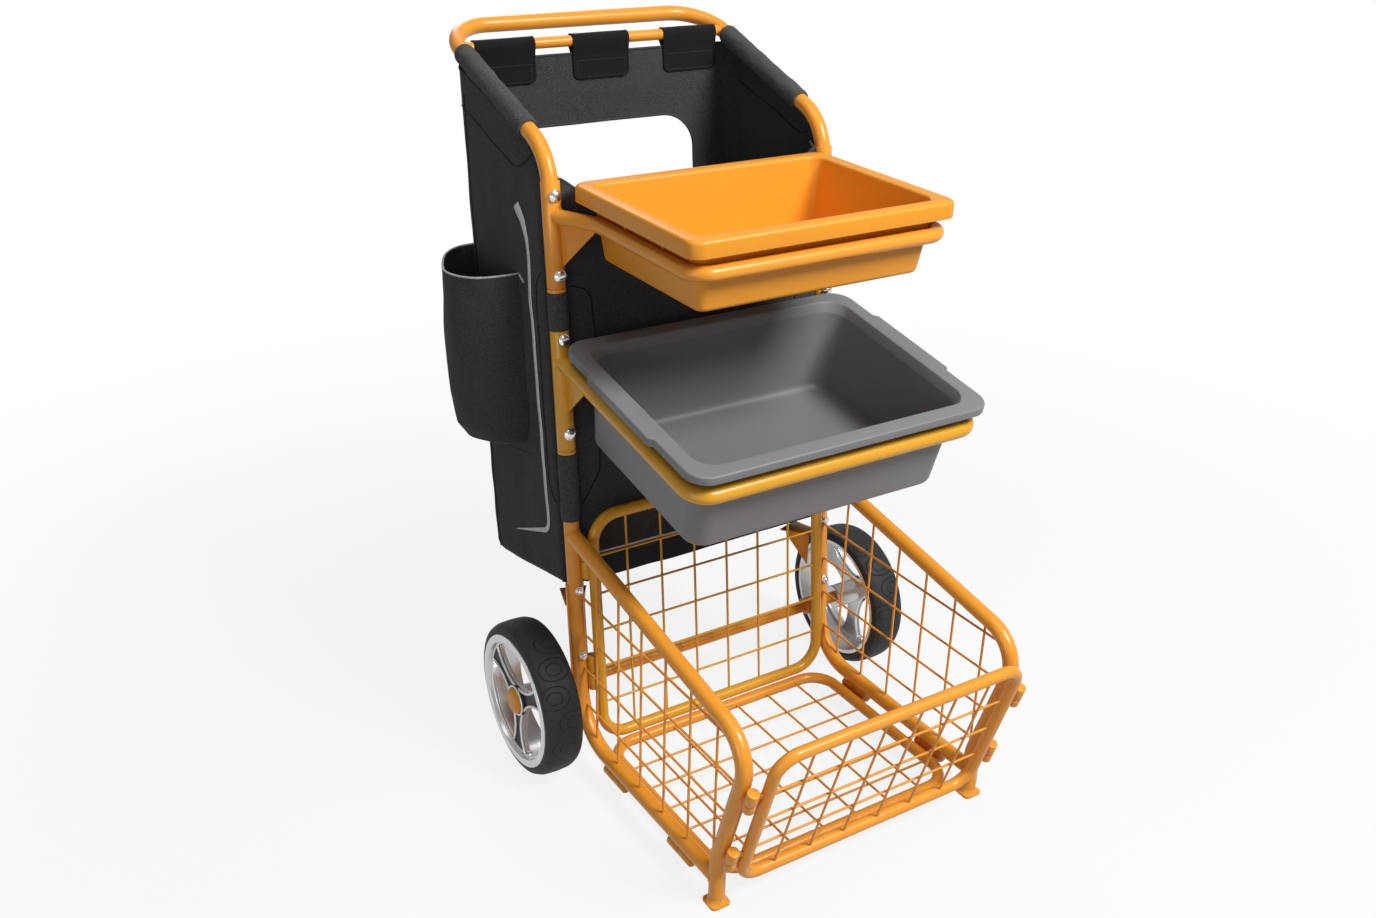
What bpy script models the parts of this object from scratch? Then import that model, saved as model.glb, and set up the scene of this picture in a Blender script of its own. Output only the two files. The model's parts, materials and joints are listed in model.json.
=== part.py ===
"""Ball trolley: a welded tube cart with a wire basket, two lift-out trays and a hanging bag.

The part stands on the floor at z = 0, its front (the gate) looks along -Y and its handle
is at +Y. Sizes are in metres. Run it in an empty Blender scene.
"""

import math

import bmesh
import bpy
from mathutils import Matrix, Vector

# Clearances
GAP = 0.0003
WELD_IN = 0.0010

# Frame tubes
SIDE_X = 0.2453
TUBE_R = 0.0125
TUBE_SIDES = 12
SMALL_TUBE_SIDES = 8
LEAN = 0.0926
LEAN_FOOT_Z = 0.100
UPRIGHT_TOP_Z = 0.872
UPRIGHT_BEND_R = 0.085
BOTTOM_RAIL_Z = 0.0466
LEG_FOOT_Y = -0.410
LEG_SLOPE = 0.305
LEG_KNEE_Z = 0.082
LEG_BEND_R = 0.060
TOP_RAIL_SLOPE = 0.1786
TOP_RAIL_BACK_Z = 0.4054
FOOT_SIZE = 0.033
FOOT_CORNER_R = 0.007
FOOT_THICK = 0.005

# Handle hoop
SLANT_RUN = 2.903
KNEE_RISE = 0.1237
SLANT_START_Z = UPRIGHT_TOP_Z + KNEE_RISE
SLANT_RISE = 0.1253
HANDLE_Z = SLANT_START_Z + SLANT_RISE
HOOP_LOW_BEND_R = 0.080
HOOP_TOP_BEND_R = 0.075
BAR_BELOW_HANDLE = 0.0232
BAR_Z = HANDLE_Z - BAR_BELOW_HANDLE
BAR_R = 0.0090

# Wire panels
WIRE_R = 0.0020
WIRE_OVERLAP = 0.0008
PANEL_TUBE_R = 0.0095
PANEL_HALF = 0.2200
PANEL_CORNER_R = 0.045
SIDE_WIRE_FIRST_Y = -0.0537
SIDE_WIRE_STEP_Y = 0.0693
SIDE_WIRE_COUNT = 6
SIDE_RUNG_FIRST_Z = 0.1064
SIDE_RUNG_STEP_Z = 0.0658
SIDE_RUNG_COUNT = 4
BACK_PANEL_AHEAD = 0.0220
BACK_PANEL_LOW_Z = 0.0407
BACK_PANEL_TOP_Z = 0.4350
PANEL_WIRE_STEP_X = 0.0637
PANEL_WIRE_COUNT = 6
BACK_RUNG_COUNT = 5
FLOOR_BACK_Y = -0.042
FLOOR_FRONT_Y = -0.392
FLOOR_RUNG_FIRST_Y = -0.109
FLOOR_RUNG_STEP_Y = 0.0566
FLOOR_RUNG_COUNT = 5
GATE_AHEAD = 0.0273
GATE_LOW_Z = 0.0477
GATE_TOP_Z = 0.3083
GATE_CORNER_R = 0.035
GATE_RUNG_FIRST_Z = 0.1135
GATE_RUNG_STEP_Z = 0.0612
GATE_RUNG_COUNT = 3

# Lift-off hinge barrels
BARREL_R = 0.0093
BARREL_HALF = 0.031
BARREL_SEAM = 0.0004
BARREL_AHEAD = 0.0250
PIN_R = 0.0040
PIN_LENGTH = 0.022
PIN_SIDES = 8
GATE_BARREL_LOW_Z = (0.077, 0.204)
BACK_BARREL_LOW_Z = (0.130, 0.330)
BACK_BARREL_AHEAD = 0.0115
BARREL_BITE = 0.0015
FLOOR_BARREL_BACK_Y = (-0.086, -0.284)
TAB_THICK = 0.004

# Rim levels of the two trays at the uprights
TRAY_Z = UPRIGHT_TOP_Z + 0.0841
TUB_BELOW_TRAY = 0.2326
TUB_Z = TRAY_Z - TUB_BELOW_TRAY

# Tray brackets
CLAMP_WALL = 0.0014
CLAMP_COVER = 0.0065
UPPER_CLAMP_Z = (UPRIGHT_TOP_Z - 0.0775, UPRIGHT_TOP_Z + 0.0850)
LOWER_CLAMP_Z = (TUB_Z - 0.1820, TUB_Z + 0.0130)
UPPER_RING_X = 0.2118
UPPER_RING_R = 0.0110
UPPER_RING_DROP = 0.0490
UPPER_RING_FRONT = -0.2600
LOWER_RING_X = SIDE_X
LOWER_RING_R = 0.0125
LOWER_RING_DROP = 0.0420
LOWER_RING_FRONT = -0.3400
RING_CORNER_R = 0.032
GUSSET_REACH = 0.085
GUSSET_DROP = 0.052
GUSSET_THICK = 0.004

# Trays, each in its own tilted frame: along the slope and down from the rim plane
TRAY_TILT = 0.0113
TRAY_OVERHANG = 0.0120
TRAY_HALF = UPPER_RING_X + TRAY_OVERHANG
TRAY_BACK = 0.0588
TRAY_FRONT = -0.2717
TRAY_CORNER_R = 0.022
TRAY_WALL = 0.003
TRAY_RIM_WIDTH = 0.0233
TRAY_SKIRT = 0.0247
TRAY_DEPTH = 0.111
TRAY_TAPER = 0.012
TUB_TILT = 0.1765
TUB_OVERHANG = 0.0144
TUB_HALF = LOWER_RING_X + TUB_OVERHANG
TUB_BACK = 0.0270
TUB_FRONT = -0.3550
TUB_CORNER_R = 0.034
TUB_WALL = 0.003
TUB_RIM_WIDTH = 0.0257
TUB_SKIRT = 0.0130
TUB_DEPTH = 0.155
TUB_TAPER = 0.010
LIP_OUT = 0.0068
LIP_BACK = -0.070
LIP_FRONT = -0.240
RIB_THICK = 0.003

# Wheels and axle
TYRE_R = 0.1286
AXLE_TUBE_R = 0.0100
AXLE_R = 0.0060
AXLE_TUBE_END = 0.2912
WHEEL_INNER_X = 0.2928
WHEEL_OUTER_X = 0.3573
SHOULDER_R = TYRE_R - 0.0092
RIM_R = TYRE_R - 0.0186
RIM_WALL = 0.0085
RIM_FACE_X = 0.3587
WEB_INNER_X = 0.3180
WEB_OUTER_X = 0.3500
HUB_R = 0.0215
HUB_INNER_X = 0.2920
HUB_FACE_X = 0.3505
CAP_R = 0.0226
CAP_FACE_X = 0.3620
COLLAR_R = 0.0100
COLLAR_THICK = 0.0040
WHEEL_STEPS = 24
SPOKE_COUNT = 3
SPOKE_ANGLE = 33.0
SPOKE_HALF_WIDTH = 0.0110
WINDOW_INNER_R = 0.031
WINDOW_OUTER_R = RIM_R - 0.013
AXLE_BRACKET_Z = (TYRE_R + 0.0094, 0.3185)
AXLE_BRACKET_WALL = 0.0030
AXLE_RING_R = 0.0150
AXLE_RING_X = (0.2260, 0.2640)
SHELF_Z = 0.275
SHELF_DROP = 0.060
SHELF_THICK = 0.0025

# Bolts
BOLT_R = 0.0030
BOLT_SIDES = 6
BOLT_HEAD_R = 0.0080
BOLT_HEAD_HIGH = 0.0055
NUT_R = 0.0062
NUT_THICK = 0.0055
BOLT_TIP = 0.0020
CLAMP_BOLT_UP = (0.0255, 0.0345)
CLAMP_BOLT_DOWN = (0.0205, 0.0135)
UPPER_BOLT_Z = (UPPER_CLAMP_Z[0] + CLAMP_BOLT_UP[0], UPPER_CLAMP_Z[1] - CLAMP_BOLT_DOWN[0])
LOWER_BOLT_Z = (LOWER_CLAMP_Z[0] + CLAMP_BOLT_UP[1], LOWER_CLAMP_Z[1] - CLAMP_BOLT_DOWN[1])
AXLE_BOLT_Z = (0.195, 0.311)
AXLE_BOLT_HEAD_R = 0.0065

# Bag
BAG_HALF = 0.2605
BAG_WALL = 0.0020
BAG_DEPTH = 0.2845
BAG_CORNER_R = 0.030
BAG_LOW_FRONT_Z = 0.315
BAG_LOW_BACK_Z = 0.257
BAG_BACK_TOP_Z = BAR_Z - 0.0198
BAG_SIDE_TOP_Y = (0.140, 0.345)
BAG_SIDE_DROP = 0.0088
BAG_FRONT_DROP = 0.0387
BAG_FRONT_TOP_Z = SLANT_START_Z - BAG_FRONT_DROP
BAG_SCOOP = 0.080
WINDOW_HALF = 0.190
WINDOW_LOW_Z = 0.790
WINDOW_TOP_Z = 0.967
WINDOW_CORNER_R = 0.060
SLEEVE_WALL = 0.0014
SLANT_SLEEVE_Y = (0.146, 0.366)
SLEEVE_END_GAP = 0.0007
UPPER_SLEEVE_Z = (LOWER_CLAMP_Z[1] + SLEEVE_END_GAP, UPPER_CLAMP_Z[0] - SLEEVE_END_GAP)
LOWER_SLEEVE_Z = (0.4300, LOWER_CLAMP_Z[0] - SLEEVE_END_GAP)
STRAP_WIDTH = 0.104
STRAP_STEP = 0.172
STRAP_THICK = 0.0020
STRAP_FRONT_LOW_Z = BAG_BACK_TOP_Z - 0.041
STRAP_BACK_LOW_Z = BAG_BACK_TOP_Z - 0.020
POCKET_FRONT = 0.082
POCKET_BACK = 0.2780
POCKET_BULGE = 0.074
POCKET_TOP_Z = 0.800
POCKET_LOW_Z = 0.488
POCKET_WALL = 0.0022

# Finishes: base colour, roughness, metallic
ORANGE_PAINT = ((0.80, 0.28, 0.020), 0.35, 0.0)
OCHRE_PAINT = ((0.62, 0.30, 0.016), 0.35, 0.0)
ORANGE_PLASTIC = ((0.82, 0.29, 0.018), 0.40, 0.0)
GREY_PLASTIC = ((0.16, 0.16, 0.16), 0.45, 0.0)
SILVER_PLASTIC = ((0.42, 0.42, 0.41), 0.35, 0.3)
BRIGHT_STEEL = ((0.62, 0.62, 0.62), 0.20, 1.0)
BLACK_RUBBER = ((0.020, 0.020, 0.020), 0.65, 0.0)
CHARCOAL_FABRIC = ((0.030, 0.030, 0.030), 0.85, 0.0)
SLEEVE_FABRIC = ((0.045, 0.045, 0.045), 0.80, 0.0)
BLACK_FABRIC = ((0.008, 0.008, 0.008), 0.85, 0.0)

SIDES = (("left", -1), ("right", 1))


def clear_scene():
    """Take everything out of the start-up scene."""
    for obj in list(bpy.data.objects):
        bpy.data.objects.remove(obj, do_unlink=True)


def make_collection(name):
    """A collection linked to the scene."""
    collection = bpy.data.collections.new(name)
    bpy.context.scene.collection.children.link(collection)
    return collection


def tidy_mesh(mesh):
    """Merge doubled points and turn every face outward."""
    shape = bmesh.new()
    shape.from_mesh(mesh)
    bmesh.ops.remove_doubles(shape, verts=shape.verts, dist=0.00001)
    bmesh.ops.recalc_face_normals(shape, faces=shape.faces)
    shape.to_mesh(mesh)
    shape.free()


def add_mesh(name, points, faces):
    """An object made from points and faces."""
    mesh = bpy.data.meshes.new(name)
    mesh.from_pydata([tuple(point) for point in points], [], faces)
    tidy_mesh(mesh)
    obj = bpy.data.objects.new(name, mesh)
    TROLLEY.objects.link(obj)
    return obj


def apply_modifiers(obj):
    """Replace the mesh by its evaluated form."""
    bpy.context.view_layer.update()
    graph = bpy.context.evaluated_depsgraph_get()
    mesh = bpy.data.meshes.new_from_object(obj.evaluated_get(graph))
    obj.modifiers.clear()
    obj.data = mesh
    tidy_mesh(obj.data)


def combine(target, tool, operation):
    """Join a tool to the target or cut it away, then take the tool out."""
    modifier = target.modifiers.new(operation.title(), "BOOLEAN")
    modifier.operation = operation
    modifier.solver = "EXACT"
    modifier.object = tool
    apply_modifiers(target)
    bpy.data.objects.remove(tool, do_unlink=True)
    return target


def join(target, *tools):
    """Weld each tool to the target."""
    for tool in tools:
        combine(target, tool, "UNION")
    return target


def cut(target, *tools):
    """Cut each tool out of the target."""
    for tool in tools:
        combine(target, tool, "DIFFERENCE")
    return target


def paint(obj, finish):
    """Give the object its own material."""
    colour, roughness, metallic = finish
    material = bpy.data.materials.new(obj.name + "_finish")
    material.use_nodes = True
    shader = material.node_tree.nodes["Principled BSDF"]
    shader.inputs["Base Color"].default_value = (*colour, 1.0)
    shader.inputs["Roughness"].default_value = roughness
    shader.inputs["Metallic"].default_value = metallic
    material.diffuse_color = (*colour, 1.0)
    obj.data.materials.clear()
    obj.data.materials.append(material)
    return obj


def around(radius, sides):
    """The radius of a faceted hole whose flats clear a round of this radius."""
    return (radius + GAP) / math.cos(math.pi / sides)


def bend(corners, step=21.0):
    """A centre line through (point, bend radius) corners, each bend turned as an arc."""
    path = []
    for index, (corner, radius) in enumerate(corners):
        if radius == 0:
            path.append(Vector(corner))
            continue
        before = Vector(corners[index - 1][0])
        after = Vector(corners[(index + 1) % len(corners)][0])
        corner = Vector(corner)
        back = (before - corner).normalized()
        on = (after - corner).normalized()
        turn = math.pi - back.angle(on)
        reach = radius * math.tan(turn / 2)
        centre = corner + (back + on).normalized() * radius / math.cos(turn / 2)
        first = corner + back * reach - centre
        last = corner + on * reach - centre
        across = (last - first * math.cos(turn)) / math.sin(turn)
        pieces = max(2, round(math.degrees(turn) / step))
        for piece in range(pieces + 1):
            angle = turn * piece / pieces
            path.append(centre + first * math.cos(angle) + across * math.sin(angle))
    return path


def sweep(name, path, radius, sides=TUBE_SIDES, closed=False):
    """A round tube along a centre line."""
    curve = bpy.data.curves.new(name, "CURVE")
    curve.dimensions = "3D"
    curve.bevel_depth = radius
    curve.bevel_resolution = round(sides / 2) - 2
    curve.use_fill_caps = not closed
    spline = curve.splines.new("POLY")
    spline.points.add(len(path) - 1)
    for point, place in zip(spline.points, path):
        point.co = (*place, 1.0)
    spline.use_cyclic_u = closed
    guide = bpy.data.objects.new(name + "_line", curve)
    TROLLEY.objects.link(guide)
    bpy.context.view_layer.update()
    graph = bpy.context.evaluated_depsgraph_get()
    mesh = bpy.data.meshes.new_from_object(guide.evaluated_get(graph))
    bpy.data.objects.remove(guide, do_unlink=True)
    tidy_mesh(mesh)
    obj = bpy.data.objects.new(name, mesh)
    TROLLEY.objects.link(obj)
    return obj


def rod(name, start, end, radius, sides, hole=0.0, ridge=None):
    """A straight faceted rod, or a pipe where a hole radius is given.

    One of its ridges faces the ridge direction; without one, a flat faces sideways.
    """
    start, end = Vector(start), Vector(end)
    along = (end - start).normalized()
    turn = (end - start).to_track_quat("Z", "X").to_matrix()
    half_step = 0.5
    if ridge is not None:
        first = (ridge - along * ridge.dot(along)).normalized()
        turn = Matrix((first, along.cross(first), along)).transposed()
        half_step = 0.0
    rings = []
    for place, size in ((start, radius), (end, radius), (end, hole), (start, hole)):
        if size == 0:
            continue
        ring = []
        for side in range(sides):
            angle = 2 * math.pi * (side + half_step) / sides
            offset = Vector((size * math.cos(angle), size * math.sin(angle), 0))
            ring.append(place + turn @ offset)
        rings.append(ring)
    return stack(name, rings, closed=hole > 0)


def stack(name, rings, closed=False):
    """Skin a list of equal rings; the first and last are capped unless the list closes."""
    count = len(rings[0])
    points = [point for ring in rings for point in ring]
    faces = []
    for level in range(len(rings) if closed else len(rings) - 1):
        low = level * count
        high = ((level + 1) % len(rings)) * count
        for side in range(count):
            on = (side + 1) % count
            faces.append((low + side, low + on, high + on, high + side))
    if not closed:
        faces.append(tuple(range(count)))
        faces.append(tuple(len(points) - count + side for side in range(count)))
    return add_mesh(name, points, faces)


def lathe(name, profile, steps, axis, closed):
    """Turn a profile of (radius, distance along the axis) points round an X or Z axis."""
    mesh = bpy.data.meshes.new(name)
    points = [(radius, 0.0, along) for radius, along in profile]
    edges = [(index, index + 1) for index in range(len(points) - 1)]
    if closed:
        edges.append((len(points) - 1, 0))
    mesh.from_pydata(points, edges, [])
    obj = bpy.data.objects.new(name, mesh)
    TROLLEY.objects.link(obj)
    screw = obj.modifiers.new("Turn", "SCREW")
    screw.axis = "Z"
    screw.steps = steps
    screw.render_steps = steps
    screw.use_merge_vertices = True
    screw.merge_threshold = 0.0001
    apply_modifiers(obj)
    if axis == "X":
        obj.data.transform(Matrix.Rotation(math.radians(90), 4, "Y"))
    return obj


def extrude(name, outline, depth):
    """A slab: an outline of points pushed along a vector."""
    depth = Vector(depth)
    low = [Vector(point) for point in outline]
    return stack(name, [low, [point + depth for point in low]])


def box(name, low, high):
    """A plain block between two corners."""
    outline = [(low[0], low[1], low[2]), (high[0], low[1], low[2])]
    outline += [(high[0], high[1], low[2]), (low[0], high[1], low[2])]
    return extrude(name, outline, (0, 0, high[2] - low[2]))


def rounded_outline(half_x, back, front, radius, pieces):
    """The corners of a rounded rectangle, each as an arc, as (x, y) pairs."""
    outline = []
    centres = ((half_x, back, 0), (-half_x, back, 90), (-half_x, front, 180), (half_x, front, 270))
    for x, y, start in centres:
        centre_x = x - math.copysign(radius, x)
        centre_y = y - radius if y == back else y + radius
        for piece in range(pieces + 1):
            angle = math.radians(start + 90 * piece / pieces)
            place_x = centre_x + radius * math.cos(angle)
            place_y = centre_y + radius * math.sin(angle)
            outline.append((place_x, place_y))
    return outline


def lean_y(z):
    """How far back the upright's axis is at a height."""
    return LEAN * (z - LEAN_FOOT_Z)


def lean_point(x, back, z):
    """A point behind the upright's axis line at a height."""
    return Vector((x, lean_y(z) + back, z))


LEAN_AXIS = Vector((0, LEAN, 1)).normalized()
LEAN_BACK = Vector((0, 1, -LEAN)).normalized()


def slant_z(y):
    """The height of the hoop's slanting side tube."""
    return SLANT_START_Z + (y - lean_y(SLANT_START_Z)) / SLANT_RUN


def slant_y(z):
    """How far back the hoop's slanting side tube is at a height."""
    return lean_y(SLANT_START_Z) + SLANT_RUN * (z - SLANT_START_Z)


def top_rail_z(y):
    """The height of the basket's top rail."""
    back_y = lean_y(TOP_RAIL_BACK_Z)
    return TOP_RAIL_BACK_Z + TOP_RAIL_SLOPE * (y - back_y)


def leg_y(z):
    """The front leg's centre line above its knee."""
    return LEG_FOOT_Y - LEG_SLOPE * (z - LEG_KNEE_Z)


def leg_top_z():
    """The height at which the leg and the top rail would meet without their bend."""
    level = top_rail_z(LEG_FOOT_Y + LEG_SLOPE * LEG_KNEE_Z)
    return level / (1 + TOP_RAIL_SLOPE * LEG_SLOPE)


def gate_y(z, ahead=GATE_AHEAD):
    """The gate's plane, ahead of the leg by a distance square to the leg."""
    return leg_y(z) - ahead * math.hypot(1, LEG_SLOPE)


def handle_back_y():
    """The rearmost line of the handle."""
    return slant_y(HANDLE_Z) + TUBE_R


def gate_front_y():
    """The foremost line of the gate."""
    return gate_y(GATE_TOP_Z) - PANEL_TUBE_R


def upright_cutter(low_z, high_z, radius=TUBE_R, side=1):
    """A faceted rod a little fatter than an upright, to cut neighbours clear of it."""
    start = lean_point(side * SIDE_X, 0, low_z)
    end = lean_point(side * SIDE_X, 0, high_z)
    return rod("upright_cutter", start, end, around(radius, 16), 16)


def bolt_hole(side, z):
    """A cutter for one bolt through an upright."""
    centre = lean_point(side * SIDE_X, 0, z)
    reach = LEAN_BACK * 0.05
    return rod("bolt_hole", centre - reach, centre + reach, around(BOLT_R, 8), 8)


def hoop_line():
    """The centre line of the handle hoop."""
    corners = []
    for side in (-1, 1):
        x = side * SIDE_X
        foot = (lean_point(x, 0, UPRIGHT_TOP_Z + GAP), 0)
        knee = (lean_point(x, 0, SLANT_START_Z), HOOP_LOW_BEND_R)
        top = (Vector((x, slant_y(HANDLE_Z), HANDLE_Z)), HOOP_TOP_BEND_R)
        corners += [foot, knee, top] if side < 0 else [top, knee, foot]
    return bend(corners)


def upright_line(side):
    """The centre line of an upright that turns forward into its bottom rail."""
    x = side * SIDE_X
    corners = [(lean_point(x, 0, UPRIGHT_TOP_Z), 0)]
    corners.append(((x, lean_y(BOTTOM_RAIL_Z), BOTTOM_RAIL_Z), UPRIGHT_BEND_R))
    corners.append(((x, LEG_FOOT_Y, BOTTOM_RAIL_Z), 0))
    return bend(corners)


def leg_line(side):
    """The centre line of a top rail that turns down into its front leg."""
    x = side * SIDE_X
    top_z = leg_top_z()
    corners = [((x, lean_y(TOP_RAIL_BACK_Z), TOP_RAIL_BACK_Z), 0)]
    corners.append(((x, leg_y(top_z), top_z), LEG_BEND_R))
    corners.append(((x, LEG_FOOT_Y, LEG_KNEE_Z), LEG_BEND_R))
    corners.append(((x, LEG_FOOT_Y, FOOT_THICK + GAP), 0))
    return bend(corners)


def depth_at(line, z):
    """How far back a centre line is where it last passes a height."""
    found = line[0].y
    for start, end in zip(line, line[1:]):
        if min(start.z, end.z) <= z <= max(start.z, end.z) and start.z != end.z:
            found = start.y + (end.y - start.y) * (z - start.z) / (end.z - start.z)
    return found


def tube_room(line, radius=None):
    """A cutter along a main tube's line that leaves its neighbours clear of it."""
    return sweep("tube_room", line, around(TUBE_R, 12) if radius is None else radius)


def make_hoop():
    """The handle hoop: one bent tube from upright to upright."""
    hoop = sweep("handle_hoop", hoop_line(), TUBE_R)
    for side in (-1, 1):
        for z in UPPER_BOLT_Z:
            if z > UPRIGHT_TOP_Z:
                cut(hoop, bolt_hole(side, z))
    return paint(hoop, ORANGE_PAINT)


def make_cross_bar():
    """The thin bar that the bag hangs from, coped to the hoop's side tubes."""
    y = slant_y(BAR_Z)
    bar = rod("cross_bar", (-SIDE_X, y, BAR_Z), (SIDE_X, y, BAR_Z), BAR_R, 12)
    cut(bar, tube_room(hoop_line()))
    return paint(bar, ORANGE_PAINT)


def make_side_frame(name, side):
    """An upright with its bottom rail, the top rail with its front leg, and the foot."""
    x = side * SIDE_X
    upright = sweep(name + "_upright", upright_line(side), TUBE_R)
    low = (x, LEG_FOOT_Y, 0)
    high = (x, LEG_FOOT_Y, LEG_KNEE_Z)
    cut(upright, rod("cope", low, high, around(TUBE_R, 16), 16))
    for z in UPPER_BOLT_Z + LOWER_BOLT_Z + AXLE_BOLT_Z:
        if z < UPRIGHT_TOP_Z:
            cut(upright, bolt_hole(side, z))
    paint(upright, ORANGE_PAINT)

    leg = sweep(name + "_front_leg", leg_line(side), TUBE_R)
    cut(leg, upright_cutter(0.3, 0.5, side=side))
    paint(leg, ORANGE_PAINT)

    half = FOOT_SIZE / 2
    back, front = LEG_FOOT_Y + half, LEG_FOOT_Y - half
    rings = []
    for inset, z in ((0, 0), (0, FOOT_THICK * 0.6), (0.0015, FOOT_THICK)):
        outline = rounded_outline(half - inset, back - inset, front + inset, FOOT_CORNER_R, 3)
        rings.append([Vector((x + px, py, z)) for px, py in outline])
    paint(stack(name + "_foot_plate", rings), ORANGE_PAINT)


def lattice(name, uprights, rungs, lift):
    """Weld two layers of wires into one grid; the layers sit either side of the plane."""
    shift = Vector(lift).normalized() * (WIRE_R - WIRE_OVERLAP / 2)
    layers = []
    for wires, offset in ((uprights, shift), (rungs, -shift)):
        points, faces = [], []
        for start, end in wires:
            start, end = Vector(start) + offset, Vector(end) + offset
            wire = rod("wire", start, end, WIRE_R, 6, ridge=shift)
            base = len(points)
            points += [vertex.co.copy() for vertex in wire.data.vertices]
            faces += [[base + index for index in face.vertices] for face in wire.data.polygons]
            bpy.data.objects.remove(wire, do_unlink=True)
        layers.append(add_mesh(name, points, faces))
    grid = join(layers[0], layers[1])
    grid.name = name
    return grid


def make_side_grid(name, side):
    """The wire side of the basket, between the rails, the upright and the leg."""
    x = side * SIDE_X
    uprights, rungs = [], []
    for index in range(SIDE_WIRE_COUNT):
        y = SIDE_WIRE_FIRST_Y - SIDE_WIRE_STEP_Y * index
        foot = max(BOTTOM_RAIL_Z, LEG_KNEE_Z + (LEG_FOOT_Y - y) / LEG_SLOPE)
        uprights.append(((x, y, foot), (x, y, top_rail_z(y))))
    for index in range(SIDE_RUNG_COUNT):
        z = SIDE_RUNG_FIRST_Z + SIDE_RUNG_STEP_Z * index
        back, front = depth_at(upright_line(side), z), depth_at(leg_line(side), z)
        rungs.append(((x, back, z), (x, front, z)))
    grid = lattice(name + "_side_grid", uprights, rungs, (side, 0, 0))
    cut(grid, tube_room(upright_line(side)), tube_room(leg_line(side)))
    return paint(grid, ORANGE_PAINT)


def loop_frame(name, corner_points, corner_r):
    """A closed rounded frame of thin tube."""
    corners = [(point, corner_r) for point in corner_points]
    return sweep(name, bend(corners), PANEL_TUBE_R, SMALL_TUBE_SIDES, closed=True)


def wire_positions():
    """The x places of the upright wires shared by the back and floor panels."""
    middle = (PANEL_WIRE_COUNT - 1) / 2
    return [(index - middle) * PANEL_WIRE_STEP_X for index in range(PANEL_WIRE_COUNT)]


def make_back_panel():
    """The back of the basket: a leaning loop with its grid and four barrels."""
    def place(x, z):
        return lean_point(x, -BACK_PANEL_AHEAD, z)

    half = PANEL_HALF
    corners = [place(-half, BACK_PANEL_LOW_Z), place(half, BACK_PANEL_LOW_Z)]
    corners += [place(half, BACK_PANEL_TOP_Z), place(-half, BACK_PANEL_TOP_Z)]
    frame = loop_frame("back_panel_frame", corners, PANEL_CORNER_R)
    reach = TUBE_R + BARREL_R - BARREL_BITE
    barrel_x = SIDE_X - math.sqrt(reach ** 2 - BACK_BARREL_AHEAD ** 2)
    for side in (-1, 1):
        for z in BACK_BARREL_LOW_Z:
            start = lean_point(side * barrel_x, -BACK_BARREL_AHEAD, z)
            end = start + LEAN_AXIS * 2 * BARREL_HALF
            join(frame, rod("barrel", start, end, BARREL_R, 8))
        cut(frame, upright_cutter(0.05, 0.45, side=side))
    paint(frame, OCHRE_PAINT)

    room = PANEL_TUBE_R + GAP
    uprights, rungs = [], []
    for x in wire_positions():
        uprights.append((place(x, BACK_PANEL_LOW_Z + room), place(x, BACK_PANEL_TOP_Z - room)))
    step = (BACK_PANEL_TOP_Z - BACK_PANEL_LOW_Z) / (BACK_RUNG_COUNT + 1)
    for index in range(BACK_RUNG_COUNT):
        z = BACK_PANEL_LOW_Z + step * (index + 1)
        rungs.append((place(-half + room, z), place(half - room, z)))
    grid = lattice("back_panel_grid", uprights, rungs, LEAN_BACK)
    return paint(grid, OCHRE_PAINT)


def floor_z():
    """The floor panel lies level, its barrels coped to the undersides of the bottom rails."""
    return BOTTOM_RAIL_Z - TUBE_R - BARREL_R + BARREL_BITE / 2


def make_floor_panel():
    """The basket's floor: a flat loop with its grid, hung on barrels below the rails."""
    z = floor_z()
    half = PANEL_HALF
    corners = [Vector((-half, FLOOR_BACK_Y, z)), Vector((half, FLOOR_BACK_Y, z))]
    corners += [Vector((half, FLOOR_FRONT_Y, z)), Vector((-half, FLOOR_FRONT_Y, z))]
    frame = loop_frame("floor_panel_frame", corners, PANEL_CORNER_R)
    for side in (-1, 1):
        for back_y in FLOOR_BARREL_BACK_Y:
            front_y = back_y - 2 * BARREL_HALF
            x = side * SIDE_X
            barrel = rod("barrel", (x, back_y, z), (x, front_y, z), BARREL_R, 8)
            inner = side * (half + PANEL_TUBE_R - 2 * WELD_IN)
            outer = side * (SIDE_X - BARREL_R + 2 * WELD_IN)
            low = (min(inner, outer), front_y + 0.006, z - TAB_THICK / 2)
            high = (max(inner, outer), back_y - 0.006, z + TAB_THICK / 2)
            join(frame, box("tab", low, high), barrel)
            rail_back, rail_front = (x, back_y + 0.01, BOTTOM_RAIL_Z), (x, front_y - 0.01, BOTTOM_RAIL_Z)
            cut(frame, rod("cope", rail_back, rail_front, around(TUBE_R, 16), 16))
    paint(frame, ORANGE_PAINT)

    room = PANEL_TUBE_R + GAP
    uprights, rungs = [], []
    for x in wire_positions():
        uprights.append(((x, FLOOR_BACK_Y - room, z), (x, FLOOR_FRONT_Y + room, z)))
    for index in range(FLOOR_RUNG_COUNT):
        y = FLOOR_RUNG_FIRST_Y - FLOOR_RUNG_STEP_Y * index
        rungs.append(((-half + room, y, z), (half - room, y, z)))
    grid = lattice("floor_panel_grid", uprights, rungs, (0, 0, 1))
    return paint(grid, ORANGE_PAINT)


GATE_AXIS = Vector((0, -LEG_SLOPE, 1)).normalized()
GATE_OUT = Vector((0, -1, -LEG_SLOPE)).normalized()


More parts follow.
